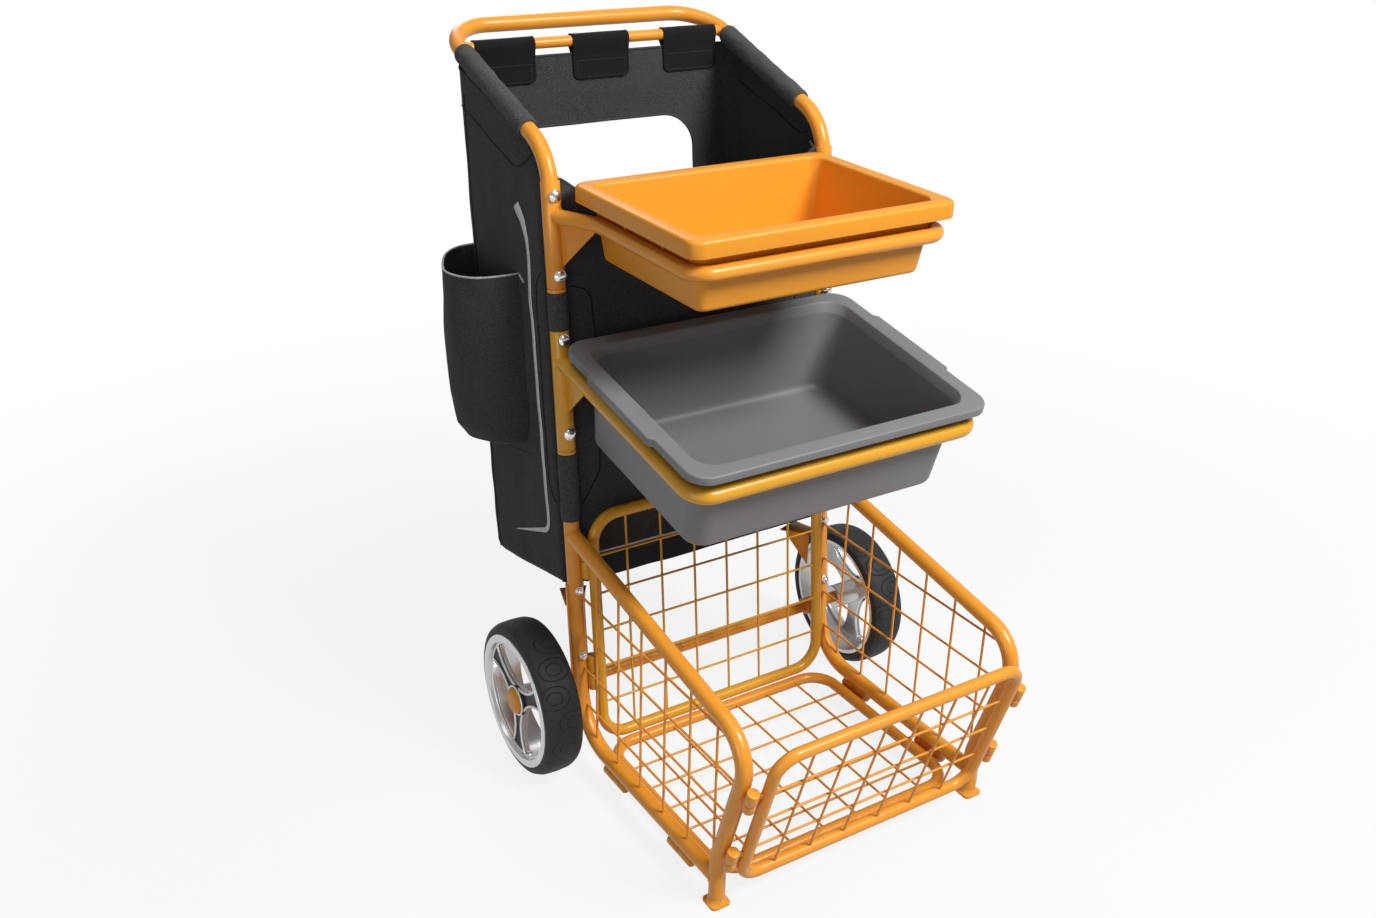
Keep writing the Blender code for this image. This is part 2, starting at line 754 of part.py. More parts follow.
def make_gate():
    """The front gate, its sleeves and the four pins on the legs that carry it."""
    def place(x, z):
        return Vector((x, gate_y(z), z))

    half = PANEL_HALF
    corners = [place(-half, GATE_LOW_Z), place(half, GATE_LOW_Z)]
    corners += [place(half, GATE_TOP_Z), place(-half, GATE_TOP_Z)]
    frame = loop_frame("gate_frame", corners, GATE_CORNER_R)
    for name, side in SIDES:
        for level, z in zip(("lower", "upper"), GATE_BARREL_LOW_Z):
            foot = Vector((side * SIDE_X, gate_y(z, BARREL_AHEAD), z))
            seam = foot + GATE_AXIS * BARREL_HALF
            start = seam + GATE_AXIS * BARREL_SEAM
            end = start + GATE_AXIS * BARREL_HALF
            sleeve = rod("sleeve", start, end, BARREL_R, 12)
            tab_low = start + GATE_AXIS * 0.006
            reach_in = half + PANEL_TUBE_R - 2 * WELD_IN
            reach_out = SIDE_X - BARREL_R + 2 * WELD_IN
            ahead = GATE_OUT * (GATE_AHEAD - BARREL_AHEAD)
            outline = []
            for x, shift in ((reach_in, ahead), (reach_out, Vector())):
                thick = GATE_OUT * TAB_THICK / 2
                base = Vector((side * x, tab_low.y, tab_low.z)) + shift
                outline += [base - thick, base + thick] if x == reach_in else [base + thick, base - thick]
            tab = extrude("tab", outline, GATE_AXIS * (BARREL_HALF - 0.012))
            join(frame, tab, sleeve)
            bore_end = start + GATE_AXIS * (PIN_LENGTH + 0.002)
            bore = rod("bore", start - GATE_AXIS * 0.001, bore_end, around(PIN_R, PIN_SIDES), PIN_SIDES)
            cut(frame, bore)

            pin = rod(f"{name}_gate_pin_{level}", foot, seam, BARREL_R, 12)
            tip = rod("tip", seam - GATE_AXIS * 0.004, seam + GATE_AXIS * PIN_LENGTH, PIN_R, PIN_SIDES)
            web_low = foot + GATE_AXIS * 0.005
            thick = Vector((TAB_THICK / 2, 0, 0))
            inward = GATE_OUT * -(BARREL_AHEAD - TUBE_R / 2)
            start_out = web_low - GATE_OUT * (BARREL_R / 2)
            outline = [start_out - thick, start_out + thick]
            outline += [web_low + inward + thick, web_low + inward - thick]
            web = extrude("web", outline, GATE_AXIS * (BARREL_HALF - 0.010))
            join(pin, tip, web)
            low = Vector((side * SIDE_X, leg_y(0.06), 0.06))
            high = Vector((side * SIDE_X, leg_y(0.30), 0.30))
            cut(pin, rod("cope", low, high, around(TUBE_R, 16), 16))
            paint(pin, ORANGE_PAINT)
    paint(frame, ORANGE_PAINT)

    room = PANEL_TUBE_R + GAP
    uprights, rungs = [], []
    for x in wire_positions():
        uprights.append((place(x, GATE_LOW_Z + room), place(x, GATE_TOP_Z - room)))
    for index in range(GATE_RUNG_COUNT):
        z = GATE_RUNG_FIRST_Z + GATE_RUNG_STEP_Z * index
        rungs.append((place(-half + room, z), place(half - room, z)))
    grid = lattice("gate_grid", uprights, rungs, GATE_OUT)
    return paint(grid, ORANGE_PAINT)


def tray_frame(height, tilt):
    """The matrix of a tray's own frame: X across, Y up the slope, Z square to the rim."""
    return Matrix.Translation((0, 0, height)) @ Matrix.Rotation(tilt, 4, "X")


def make_bracket(name, frame, ring, clamp_z, bolt_z, finish):
    """A tray bracket: a bent ring with a gusseted half-round clamp for each upright."""
    ring_x, ring_r, drop, front = ring
    corners = []
    for side in (-1, 1):
        x = side * SIDE_X
        local_back = frame.inverted() @ lean_point(x, 0, sum(clamp_z) / 2)
        start = frame @ Vector((x, local_back.y, -drop))
        start.y = lean_y(start.z)
        inward = SIDE_X - ring_x
        elbow = frame @ Vector((side * ring_x, local_back.y - 0.070, -drop))
        corner = frame @ Vector((side * ring_x, front, -drop))
        elbow_r = 0.05 if inward > 0.001 else 0
        run = [(start, 0), (elbow, elbow_r), (corner, RING_CORNER_R)]
        corners += run if side < 0 else run[::-1]
    bracket = sweep(name, bend(corners), ring_r, SMALL_TUBE_SIDES)
    start, elbow = corners[0][0], corners[1][0]
    for side in (-1, 1):
        x = side * SIDE_X
        outer = TUBE_R + GAP + CLAMP_WALL
        shell = rod("shell", lean_point(x, 0, clamp_z[0]), lean_point(x, 0, clamp_z[1]), outer, 16)
        back_cut = box("back_cut", (-0.03, CLAMP_COVER, -0.05), (0.03, 0.05, 0.30))
        turn = Matrix.Rotation(-math.atan(LEAN), 4, "X")
        back_cut.data.transform(Matrix.Translation(lean_point(x, 0, clamp_z[0])) @ turn)
        cut(shell, back_cut)
        run = Vector((side * abs(elbow.x) - x, elbow.y - start.y, elbow.z - start.z)).normalized()
        across = run.cross(Vector((0, 0, 1))).normalized() * GUSSET_THICK / 2
        root = Vector((x, start.y, start.z)) + run * TUBE_R * 0.9
        top = -ring_r * 0.6
        outline = [root + Vector((0, 0, top)) - across]
        outline.append(root + run * GUSSET_REACH + Vector((0, 0, top)) - across)
        outline.append(root + run * GUSSET_REACH + Vector((0, 0, top - 0.008)) - across)
        outline.append(root + Vector((0, 0, top - GUSSET_DROP)) - across)
        gusset = extrude("gusset", outline, across * 2)
        join(bracket, gusset, shell)
    ends = [lean_point(side * SIDE_X, 0, clamp_z[0] - 0.02) for side in (-1, 1)]
    cut(bracket, tube_room([ends[0]] + hoop_line() + [ends[1]]))
    for side in (-1, 1):
        for z in bolt_z:
            cut(bracket, bolt_hole(side, z))
    return paint(bracket, finish)


def make_bolt(name, side, z, head_seat, nut_seat, head_r, front_head=True):
    """A domed bolt with its nut, through an upright from front to back or back to front."""
    length = head_seat + nut_seat + NUT_THICK + BOLT_TIP
    profile = [(0, BOLT_HEAD_HIGH), (head_r * 0.62, BOLT_HEAD_HIGH * 0.78)]
    profile += [(head_r, BOLT_HEAD_HIGH * 0.15), (head_r, 0), (BOLT_R, 0)]
    profile += [(BOLT_R, -length), (0, -length)]
    bolt = lathe(name, profile, BOLT_SIDES, "Z", closed=False)
    low = -(head_seat + nut_seat + NUT_THICK)
    nut = rod("nut", (0, 0, low), (0, 0, low + NUT_THICK), NUT_R, 6)
    join(bolt, nut)
    out = -LEAN_BACK if front_head else LEAN_BACK
    seat = lean_point(side * SIDE_X, 0, z) + out * head_seat
    turn = out.to_track_quat("Z", "X").to_matrix().to_4x4()
    bolt.data.transform(Matrix.Translation(seat) @ turn)
    return paint(bolt, BRIGHT_STEEL)


def make_all_bolts():
    """Two bolts through each clamp, and two through each axle bracket."""
    clamp_seat = TUBE_R + GAP + CLAMP_WALL + GAP
    tube_seat = TUBE_R + GAP
    bracket_seat = TUBE_R + GAP + AXLE_BRACKET_WALL + GAP
    for name, side in SIDES:
        for level, heights in (("upper", UPPER_BOLT_Z), ("lower", LOWER_BOLT_Z)):
            for place, z in zip(("low", "high"), heights):
                title = f"{name}_{level}_clamp_bolt_{place}"
                make_bolt(title, side, z, clamp_seat, tube_seat, BOLT_HEAD_R)
        for place, z in zip(("low", "high"), AXLE_BOLT_Z):
            title = f"{name}_axle_bracket_bolt_{place}"
            make_bolt(title, side, z, bracket_seat, tube_seat, AXLE_BOLT_HEAD_R, False)


def tray_shell(name, frame, size, levels, pieces):
    """Skin a tray from (inset, height, corner radius) levels round a rounded rectangle."""
    half_x, back, front = size
    rings = []
    for inset, height, radius in levels:
        outline = rounded_outline(half_x - inset, back - inset, front + inset, radius, pieces)
        rings.append([frame @ Vector((x, y, height)) for x, y in outline])
    return stack(name, rings)


def add_ribs(tray, frame, half_x, stations, reach, depth):
    """Rest ribs below the rim's short sides, which stand on the ring."""
    inner, outer = reach
    for side in (-1, 1):
        for y in stations:
            low = (min(side * inner, side * outer), y - RIB_THICK / 2, -depth)
            high = (max(side * inner, side * outer), y + RIB_THICK / 2, -0.002)
            rib = box("rib", low, high)
            rib.data.transform(frame)
            join(tray, rib)


def make_top_tray():
    """The shallow orange tray with its deep rolled rim."""
    frame = tray_frame(TRAY_Z, TRAY_TILT)
    wall, rim, depth = TRAY_WALL, TRAY_RIM_WIDTH, TRAY_DEPTH
    corner = TRAY_CORNER_R
    body = rim - wall
    levels = [(body + TRAY_TAPER + 0.006, -depth, corner * 0.5)]
    levels.append((body + TRAY_TAPER, -depth + 0.006, corner * 0.7))
    levels.append((body, -TRAY_SKIRT, corner))
    levels.append((body - 0.0005, -wall - 0.003, corner))
    levels.append((wall + 0.001, -wall - 0.001, corner))
    levels.append((wall, -TRAY_SKIRT, corner))
    levels.append((0, -TRAY_SKIRT, corner))
    levels.append((0, -0.008, corner))
    levels.append((0.0025, -0.0022, corner))
    levels.append((0.008, 0, corner))
    levels.append((rim - 0.008, 0, corner))
    levels.append((rim - 0.002, -0.0025, corner))
    levels.append((rim, -0.008, corner))
    levels.append((rim + TRAY_TAPER, -depth + wall + 0.006, corner * 0.7))
    levels.append((rim + TRAY_TAPER + 0.006, -depth + wall, corner * 0.5))
    size = (TRAY_HALF, TRAY_BACK, TRAY_FRONT)
    tray = tray_shell("top_tray", frame, size, levels, 3)
    rest = UPPER_RING_DROP - UPPER_RING_R - GAP
    reach = (TRAY_HALF - body - WELD_IN, TRAY_HALF - wall / 2)
    add_ribs(tray, frame, TRAY_HALF, (-0.070, -0.170), reach, rest)
    return paint(tray, ORANGE_PLASTIC)


def make_tub():
    """The deep grey tub with a flat rim and a wider hand lip on each short side."""
    frame = tray_frame(TUB_Z, TUB_TILT)
    wall, rim, depth = TUB_WALL, TUB_RIM_WIDTH, TUB_DEPTH
    corner = TUB_CORNER_R
    body = TUB_OVERHANG + LOWER_RING_R + 3 * GAP
    foot = body + TUB_TAPER
    levels = [(foot + 0.012, -depth, corner * 0.6)]
    levels.append((foot + 0.003, -depth + 0.004, corner * 0.8))
    levels.append((foot, -depth + 0.014, corner * 0.9))
    levels.append((body, -0.020, corner))
    levels.append((body - 0.004, -wall - 0.001, corner))
    levels.append((wall, -wall - 0.001, corner))
    levels.append((wall, -TUB_SKIRT, corner))
    levels.append((0, -TUB_SKIRT, corner))
    levels.append((0, -0.003, corner))
    levels.append((0.003, 0, corner))
    levels.append((rim - 0.003, 0, corner))
    levels.append((rim, -0.002, corner))
    levels.append((body + wall, -0.016, corner))
    levels.append((foot + wall, -depth + 0.014, corner * 0.9))
    levels.append((foot + wall + 0.010, -depth + wall, corner * 0.6))
    size = (TUB_HALF, TUB_BACK, TUB_FRONT)
    tub = tray_shell("lower_tub", frame, size, levels, 3)
    for side in (-1, 1):
        slope = 0.016
        x0, x1 = side * (TUB_HALF - wall), side * (TUB_HALF + LIP_OUT)
        outline = [(x0, LIP_BACK + slope), (x1, LIP_BACK), (x1, LIP_FRONT), (x0, LIP_FRONT - slope)]
        low = [frame @ Vector((x, y, -TUB_SKIRT)) for x, y in outline]
        high = [frame @ Vector((x, y, -0.0005)) for x, y in outline]
        join(tub, stack("lip", [low, high]))
    rest = LOWER_RING_DROP - LOWER_RING_R - GAP
    reach = (TUB_HALF - body - WELD_IN, TUB_HALF - wall / 2)
    add_ribs(tub, frame, TUB_HALF, (-0.080, -0.230), reach, rest)
    return paint(tub, GREY_PLASTIC)


def axle_y():
    """The axle tube lies against the backs of the uprights."""
    back = (TUBE_R + AXLE_TUBE_R + GAP) * math.hypot(1, LEAN)
    return lean_y(TYRE_R) + back


def make_axle():
    """The axle tube across the back, and the axle rod with its end collars."""
    y = axle_y()
    end = AXLE_TUBE_END
    tube = rod("axle_tube", (-end, y, TYRE_R), (end, y, TYRE_R), AXLE_TUBE_R, 12, around(AXLE_R, 12))
    paint(tube, ORANGE_PAINT)
    inner = HUB_FACE_X + GAP
    outer = inner + COLLAR_THICK
    profile = [(0, -outer), (COLLAR_R, -outer), (COLLAR_R, -inner), (AXLE_R, -inner)]
    profile += [(AXLE_R, inner), (COLLAR_R, inner), (COLLAR_R, outer), (0, outer)]
    axle = lathe("axle_rod", profile, 12, "X", closed=False)
    axle.data.transform(Matrix.Translation((0, y, TYRE_R)))
    paint(axle, BRIGHT_STEEL)


def make_axle_bracket(name, side):
    """A half-round saddle bolted behind the upright, with a ring round the axle tube."""
    x = side * SIDE_X
    low_z, high_z = AXLE_BRACKET_Z
    outer = TUBE_R + GAP + AXLE_BRACKET_WALL
    title = name + "_axle_bracket"
    bracket = rod(title, lean_point(x, 0, low_z), lean_point(x, 0, high_z), outer, 16)
    front_cut = box("front_cut", (-0.03, -0.05, -0.05), (0.03, 0.001, 0.30))
    turn = Matrix.Rotation(-math.atan(LEAN), 4, "X")
    front_cut.data.transform(Matrix.Translation(lean_point(x, 0, low_z)) @ turn)
    cut(bracket, front_cut)
    y = axle_y()
    near, far = side * AXLE_RING_X[0], side * AXLE_RING_X[1]
    join(bracket, rod("ring", (near, y, TYRE_R), (far, y, TYRE_R), AXLE_RING_R, 16))
    cut(bracket, upright_cutter(0.05, 0.36, side=side))
    start, end = (side * 0.20, y, TYRE_R), (side * 0.29, y, TYRE_R)
    cut(bracket, rod("bore", start, end, around(AXLE_TUBE_R, 16), 16))
    for z in AXLE_BOLT_Z:
        cut(bracket, bolt_hole(side, z))
    return paint(bracket, ORANGE_PAINT)


def make_corner_shelf(name, side):
    """A small folded corner shelf behind the upright, under the bag's bottom."""
    plan = [(0.1970, 0.0720), (0.2335, 0.0215), (0.2560, 0.0300), (0.2400, 0.0860)]
    outline = [(side * x, y, SHELF_Z) for x, y in plan]
    shelf = extrude(name + "_corner_shelf", outline, (0, 0, -SHELF_THICK))
    first, last = Vector((*plan[0], 0)), Vector((*plan[1], 0))
    along = (last - first).normalized()
    inward = Vector((-along.y, along.x, 0)) * SHELF_THICK
    near, far = first + along * 0.012, last
    rings = []
    for shift in (inward * 0.15, inward):
        ring = [near + shift, far + shift]
        ring = [Vector((side * point.x, point.y, 0)) for point in ring]
        top = SHELF_Z - SHELF_THICK / 2
        points = [ring[0] + Vector((0, 0, top)), ring[1] + Vector((0, 0, top))]
        points.append(ring[1] + Vector((0, 0, SHELF_Z - SHELF_DROP)))
        points.append(ring[0] + Vector((0, 0, SHELF_Z - SHELF_THICK - 0.004)))
        rings.append(points)
    join(shelf, stack("web", rings))
    fat = TUBE_R + GAP + AXLE_BRACKET_WALL
    cut(shelf, upright_cutter(0.18, 0.30, radius=fat, side=side))
    return paint(shelf, ORANGE_PAINT)


def sector_window(start, end, pieces=4):
    """One wheel window, drawn in the wheel's plane between two spokes."""
    corner = 0.012
    outline = []
    outer, inner = WINDOW_OUTER_R, WINDOW_INNER_R
    trim_out = SPOKE_HALF_WIDTH / outer
    trim_in = SPOKE_HALF_WIDTH / inner
    for piece in range(2 * pieces + 1):
        share = piece / (2 * pieces)
        angle = start + trim_out + (end - start - 2 * trim_out) * share
        pull = corner * (abs(2 * share - 1) ** 6)
        radius = outer - pull
        outline.append((radius * math.cos(angle), radius * math.sin(angle)))
    for piece in range(pieces + 1):
        share = 1 - piece / pieces
        angle = start + trim_in + (end - start - 2 * trim_in) * share
        pull = corner * 0.5 * (abs(2 * share - 1) ** 4)
        radius = inner + pull
        outline.append((radius * math.cos(angle), radius * math.sin(angle)))
    return outline


def wheel_web(name):
    """The wheel's flat web with its three windows, from a filled 2D curve."""
    curve = bpy.data.curves.new(name, "CURVE")
    curve.dimensions = "2D"
    curve.fill_mode = "BOTH"
    curve.extrude = (WEB_OUTER_X - WEB_INNER_X) / 2
    rim = RIM_R - RIM_WALL / 2
    circle = []
    for step in range(WHEEL_STEPS):
        angle = 2 * math.pi * step / WHEEL_STEPS
        circle.append((rim * math.cos(angle), rim * math.sin(angle)))
    loops = [circle]
    for spoke in range(SPOKE_COUNT):
        start = math.radians(SPOKE_ANGLE) + 2 * math.pi * spoke / SPOKE_COUNT
        loops.append(sector_window(start, start + 2 * math.pi / SPOKE_COUNT))
    for loop in loops:
        spline = curve.splines.new("POLY")
        spline.points.add(len(loop) - 1)
        for point, place in zip(spline.points, loop):
            point.co = (*place, 0.0, 1.0)
        spline.use_cyclic_u = True
    guide = bpy.data.objects.new(name + "_outline", curve)
    TROLLEY.objects.link(guide)
    bpy.context.view_layer.update()
    graph = bpy.context.evaluated_depsgraph_get()
    mesh = bpy.data.meshes.new_from_object(guide.evaluated_get(graph))
    bpy.data.objects.remove(guide, do_unlink=True)
    tidy_mesh(mesh)
    web = bpy.data.objects.new(name, mesh)
    TROLLEY.objects.link(web)
    # The curve's X and Y become the wheel's Y and Z.
    swap = Matrix(((0, 0, 1, 0), (1, 0, 0, 0), (0, 1, 0, 0), (0, 0, 0, 1)))
    web.data.transform(swap)
    web.data.transform(Matrix.Translation(((WEB_INNER_X + WEB_OUTER_X) / 2, 0, 0)))
    return web


def make_wheel(name, side):
    """Tyre, rim with three spokes, and hub cap, all round the axle."""
    profile = [(RIM_R + GAP, WHEEL_INNER_X + 0.001), (SHOULDER_R - 0.004, WHEEL_INNER_X)]
    profile += [(SHOULDER_R + 0.003, WHEEL_INNER_X + 0.005), (TYRE_R - 0.001, WHEEL_INNER_X + 0.017)]
    profile += [(TYRE_R, WHEEL_INNER_X + 0.030), (TYRE_R - 0.0008, WHEEL_OUTER_X - 0.020)]
    profile += [(SHOULDER_R + 0.004, WHEEL_OUTER_X - 0.006), (SHOULDER_R, WHEEL_OUTER_X)]
    profile += [(RIM_R + GAP, WHEEL_OUTER_X - 0.001)]
    tyre = lathe(name + "_tyre", profile, WHEEL_STEPS, "X", closed=True)

    inner = RIM_R - RIM_WALL
    profile = [(RIM_R, WHEEL_INNER_X + 0.002), (RIM_R, RIM_FACE_X - 0.001)]
    profile += [(RIM_R - 0.002, RIM_FACE_X), (inner + 0.0005, RIM_FACE_X - 0.0005)]
    profile += [(inner - 0.001, RIM_FACE_X - 0.006), (inner, WHEEL_INNER_X + 0.002)]
    rim = lathe(name + "_wheel_rim", profile, WHEEL_STEPS, "X", closed=True)
    # The web's outer circle has as many facets as the rim, so the two rings line up.
    join(rim, wheel_web("web"))
    hub = rod("hub", (HUB_INNER_X, 0, 0), (HUB_FACE_X, 0, 0), HUB_R, 16)
    join(rim, hub)
    bore = rod("bore", (0.25, 0, 0), (0.40, 0, 0), around(AXLE_R, 12), 12)
    cut(rim, bore)

    recess_r = COLLAR_R + 0.002
    recess_x = HUB_FACE_X + GAP + COLLAR_THICK + 0.001
    seat = HUB_FACE_X + GAP
    profile = [(0, CAP_FACE_X), (CAP_R - 0.004, CAP_FACE_X - 0.0006)]
    profile += [(CAP_R, CAP_FACE_X - 0.004), (CAP_R, seat), (recess_r, seat)]
    profile += [(recess_r, recess_x), (0, recess_x)]
    cap = lathe(name + "_hub_cap", profile, 16, "X", closed=False)

    centre = Vector((0, axle_y(), TYRE_R))
    for obj, finish in ((tyre, BLACK_RUBBER), (rim, SILVER_PLASTIC), (cap, ORANGE_PLASTIC)):
        if side < 0:
            obj.data.transform(Matrix.Scale(-1, 4, (1, 0, 0)))
            obj.data.flip_normals()
        obj.location = centre
        paint(obj, finish)


def prism(name, plan, low, high):
    """A leaning prism: plan points are (x, distance behind the uprights)."""
    rings = []
    for height in (low, high):
        rings.append([lean_point(x, back, height(back)) for x, back in plan])
    return stack(name, rings)


def bag_low(back, lift=0.0):
    """The bag's bottom slopes down from the uprights to its back."""
    share = back / BAG_DEPTH
    return BAG_LOW_FRONT_Z + (BAG_LOW_BACK_Z - BAG_LOW_FRONT_Z) * share + lift


def bag_plan(inset):
    """The bag seen from above, stepping back behind each upright at its front corners."""
    near = SIDE_X - SLEEVE_ROOM - inset
    half = BAG_HALF - inset
    plan = [(near, inset - BAG_WALL / 2), (near, SLEEVE_ROOM + inset), (half, SLEEVE_ROOM + inset)]
    radius = BAG_CORNER_R - inset
    for piece in range(4):
        angle = math.radians(30 * piece)
        x = half - radius + radius * math.cos(angle)
        plan.append((x, BAG_DEPTH - inset - radius + radius * math.sin(angle)))
    return plan + [(-x, back) for x, back in plan[::-1]]


def make_bag():
    """The open sack behind the uprights, with its window, scooped front and sloping sides."""
    wall = BAG_WALL
    top = BAG_BACK_TOP_Z + 0.02
    bag = prism("bag", bag_plan(0.0), bag_low, lambda back: top)
    cut(bag, prism("inside", bag_plan(wall), lambda back: bag_low(back, wall), lambda back: top + 0.02))

    y0, y1 = BAG_SIDE_TOP_Y
    low_drop = (TUBE_R + SLEEVE_WALL + 4 * GAP) * math.hypot(1, 1 / SLANT_RUN) + GAP
    front_top = lean_y(BAG_FRONT_TOP_Z) + SLEEVE_ROOM
    outline = [(-0.05, BAG_FRONT_TOP_Z), (front_top, BAG_FRONT_TOP_Z)]
    outline.append((y0, slant_z(y0) - BAG_SIDE_DROP))
    outline.append((y1 - 0.09, slant_z(y1 - 0.09) - BAG_SIDE_DROP))
    outline.append((y1, slant_z(y1) - low_drop))
    outline.append((slant_y(BAG_BACK_TOP_Z + low_drop), BAG_BACK_TOP_Z))
    outline += [(0.5, BAG_BACK_TOP_Z), (0.5, 1.3), (-0.05, 1.3)]
    points = [Vector((-0.4, y, z)) for y, z in outline]
    cut(bag, extrude("above", points, (0.8, 0, 0)), tube_room(hoop_line(), TUBE_R + 3 * GAP))

    scoop_half = SIDE_X - SLEEVE_ROOM - 0.004
    radius = (scoop_half ** 2 + BAG_SCOOP ** 2) / (2 * BAG_SCOOP)
    centre_z = BAG_FRONT_TOP_Z - BAG_SCOOP + radius
    start, end = (0, -0.05, centre_z), (0, lean_y(BAG_FRONT_TOP_Z) + 0.010, centre_z)
    cut(bag, rod("scoop", start, end, radius, 36))

    middle = (WINDOW_LOW_Z + WINDOW_TOP_Z) / 2
    half_z = (WINDOW_TOP_Z - WINDOW_LOW_Z) / 2
    outline = rounded_outline(WINDOW_HALF, half_z, -half_z, WINDOW_CORNER_R, 4)
    points = [lean_point(x, BAG_DEPTH - 0.03, middle + z) for x, z in outline]
    cut(bag, extrude("window", points, (0, 0.06, 0)))

    room = NUT_R + 0.0015
    for side in (-1, 1):
        for z in UPPER_BOLT_Z + LOWER_BOLT_Z:
            near = lean_point(side * SIDE_X, 0, z)
            cut(bag, rod("nut_room", near, near + LEAN_BACK * 0.03, room, 6))
        heads = TUBE_R + AXLE_BRACKET_WALL + BOLT_HEAD_HIGH + 5 * GAP
        near, far = side * (SIDE_X - SLEEVE_ROOM - 0.003), side * (BAG_HALF + 0.01)
        plan = [(near, -0.01), (far, -0.01), (far, heads), (near, heads)]
        low, high = AXLE_BRACKET_Z[0], AXLE_BRACKET_Z[1] + 0.0015
        cut(bag, prism("notch", plan, lambda back: low, lambda back: high))
    return paint(bag, CHARCOAL_FABRIC)


def make_sleeves(name, side):
    """Fabric sleeves on the hoop's side tube and on the upright."""
    x = side * SIDE_X
    hole = around(TUBE_R, 12)
    outer = hole + SLEEVE_WALL
    low_y, high_y = SLANT_SLEEVE_Y
    start, end = (x, low_y, slant_z(low_y)), (x, high_y, slant_z(high_y))
    paint(rod(name + "_slant_sleeve", start, end, outer, 12, hole), SLEEVE_FABRIC)
    for level, (low_z, high_z) in (("upper", UPPER_SLEEVE_Z), ("lower", LOWER_SLEEVE_Z)):
        start, end = lean_point(x, 0, low_z), lean_point(x, 0, high_z)
        title = f"{name}_{level}_sleeve"
        paint(rod(title, start, end, outer, 12, hole), SLEEVE_FABRIC)


def make_strap(name, centre_x):
    """A strap folded over the cross bar, with a leg on each side of the bag's back."""
    bar_y = slant_y(BAR_Z)
    hug = around(BAR_R, 12) + GAP
    half = STRAP_THICK / 2
    wall_front = BAG_DEPTH - BAG_WALL - GAP - half
    wall_back = BAG_DEPTH + GAP + half
    line = [(lean_y(STRAP_FRONT_LOW_Z) + wall_front, STRAP_FRONT_LOW_Z)]
    line.append((min(lean_y(BAR_Z - 0.02) + wall_front, bar_y - hug - half), BAR_Z - 0.012))
    for step in range(7):
        angle = math.radians(180 - 180 * step / 6)
        reach = hug + half
        line.append((bar_y + reach * math.cos(angle), BAR_Z + reach * math.sin(angle)))
    line.append((bar_y + (hug + half) * 0.72, BAR_Z - (hug + half) * 0.72))
    line.append((lean_y(BAG_BACK_TOP_Z) + wall_back, BAG_BACK_TOP_Z - 0.001))
    line.append((lean_y(STRAP_BACK_LOW_Z) + wall_back, STRAP_BACK_LOW_Z))
    inner, outer = [], []
    for index, (y, z) in enumerate(line):
        before = line[max(index - 1, 0)]
        after = line[min(index + 1, len(line) - 1)]
        run = Vector((after[0] - before[0], after[1] - before[1])).normalized()
        normal = Vector((-run.y, run.x)) * half
        outer.append((y + normal.x, z + normal.y))
        inner.append((y - normal.x, z - normal.y))
    outline = outer + inner[::-1]
    start = centre_x - STRAP_WIDTH / 2
    points = [Vector((start, y, z)) for y, z in outline]
    return paint(extrude(name, points, (STRAP_WIDTH, 0, 0)), BLACK_FABRIC)


def make_pocket():
    """The bottle pocket: an open pouch that bulges from the bag's left side."""
    middle = (POCKET_FRONT + POCKET_BACK) / 2
    half = (POCKET_BACK - POCKET_FRONT) / 2
    flat_x = BAG_HALF + GAP
    height = POCKET_TOP_Z - POCKET_LOW_Z
    outer_levels = [(0.25, 0.0, 0.80), (0.72, 0.04, 0.93), (0.93, 0.12, 0.98)]
    outer_levels += [(1.0, 0.30, 1.0), (1.0, 1.0, 1.0)]
    inner_levels = outer_levels[::-1]
    rings = []
    for levels, wall in ((outer_levels, 0.0), (inner_levels, POCKET_WALL)):
        for bulge, share, spread in levels:
            z = POCKET_LOW_Z + wall + (height - wall) * share
            ring = []
            for step in range(13):
                angle = math.pi * step / 12
                out = (POCKET_BULGE * bulge - 2 * wall) * max(math.sin(angle), 0.0) ** 0.8
                back = middle - (half * spread - wall) * math.cos(angle)
                ring.append(lean_point(-(flat_x + wall + max(out, 0.0)), back, z))
            rings.append(ring)
    return paint(stack("bottle_pocket", rings), CHARCOAL_FABRIC)


def centre_on_floor():
    """Shift every piece so that the part's box is centred over the origin."""
    shift = -(handle_back_y() + gate_front_y()) / 2
    for obj in TROLLEY.objects:
        obj.location.y += shift


SLEEVE_ROOM = around(TUBE_R, 12) + SLEEVE_WALL + GAP

clear_scene()
TROLLEY = make_collection("ball_trolley")
make_hoop()
make_cross_bar()
for side_name, side_sign in SIDES:
    make_side_frame(side_name, side_sign)
    make_side_grid(side_name, side_sign)
make_back_panel()
make_floor_panel()
make_gate()
upper_ring = (UPPER_RING_X, UPPER_RING_R, UPPER_RING_DROP, UPPER_RING_FRONT)
lower_ring = (LOWER_RING_X, LOWER_RING_R, LOWER_RING_DROP, LOWER_RING_FRONT)
tray_place = tray_frame(TRAY_Z, TRAY_TILT)
tub_place = tray_frame(TUB_Z, TUB_TILT)
make_bracket("upper_tray_bracket", tray_place, upper_ring, UPPER_CLAMP_Z, UPPER_BOLT_Z, ORANGE_PAINT)
make_bracket("lower_tray_bracket", tub_place, lower_ring, LOWER_CLAMP_Z, LOWER_BOLT_Z, OCHRE_PAINT)
make_top_tray()
make_tub()
make_all_bolts()
make_axle()
for side_name, side_sign in SIDES:
    make_axle_bracket(side_name, side_sign)
    make_corner_shelf(side_name, side_sign)
    make_wheel(side_name, side_sign)
    make_sleeves(side_name, side_sign)
make_bag()
for strap_name, strap_place in (("left", -1), ("middle", 0), ("right", 1)):
    make_strap(strap_name + "_bag_strap", strap_place * STRAP_STEP)
make_pocket()
centre_on_floor()
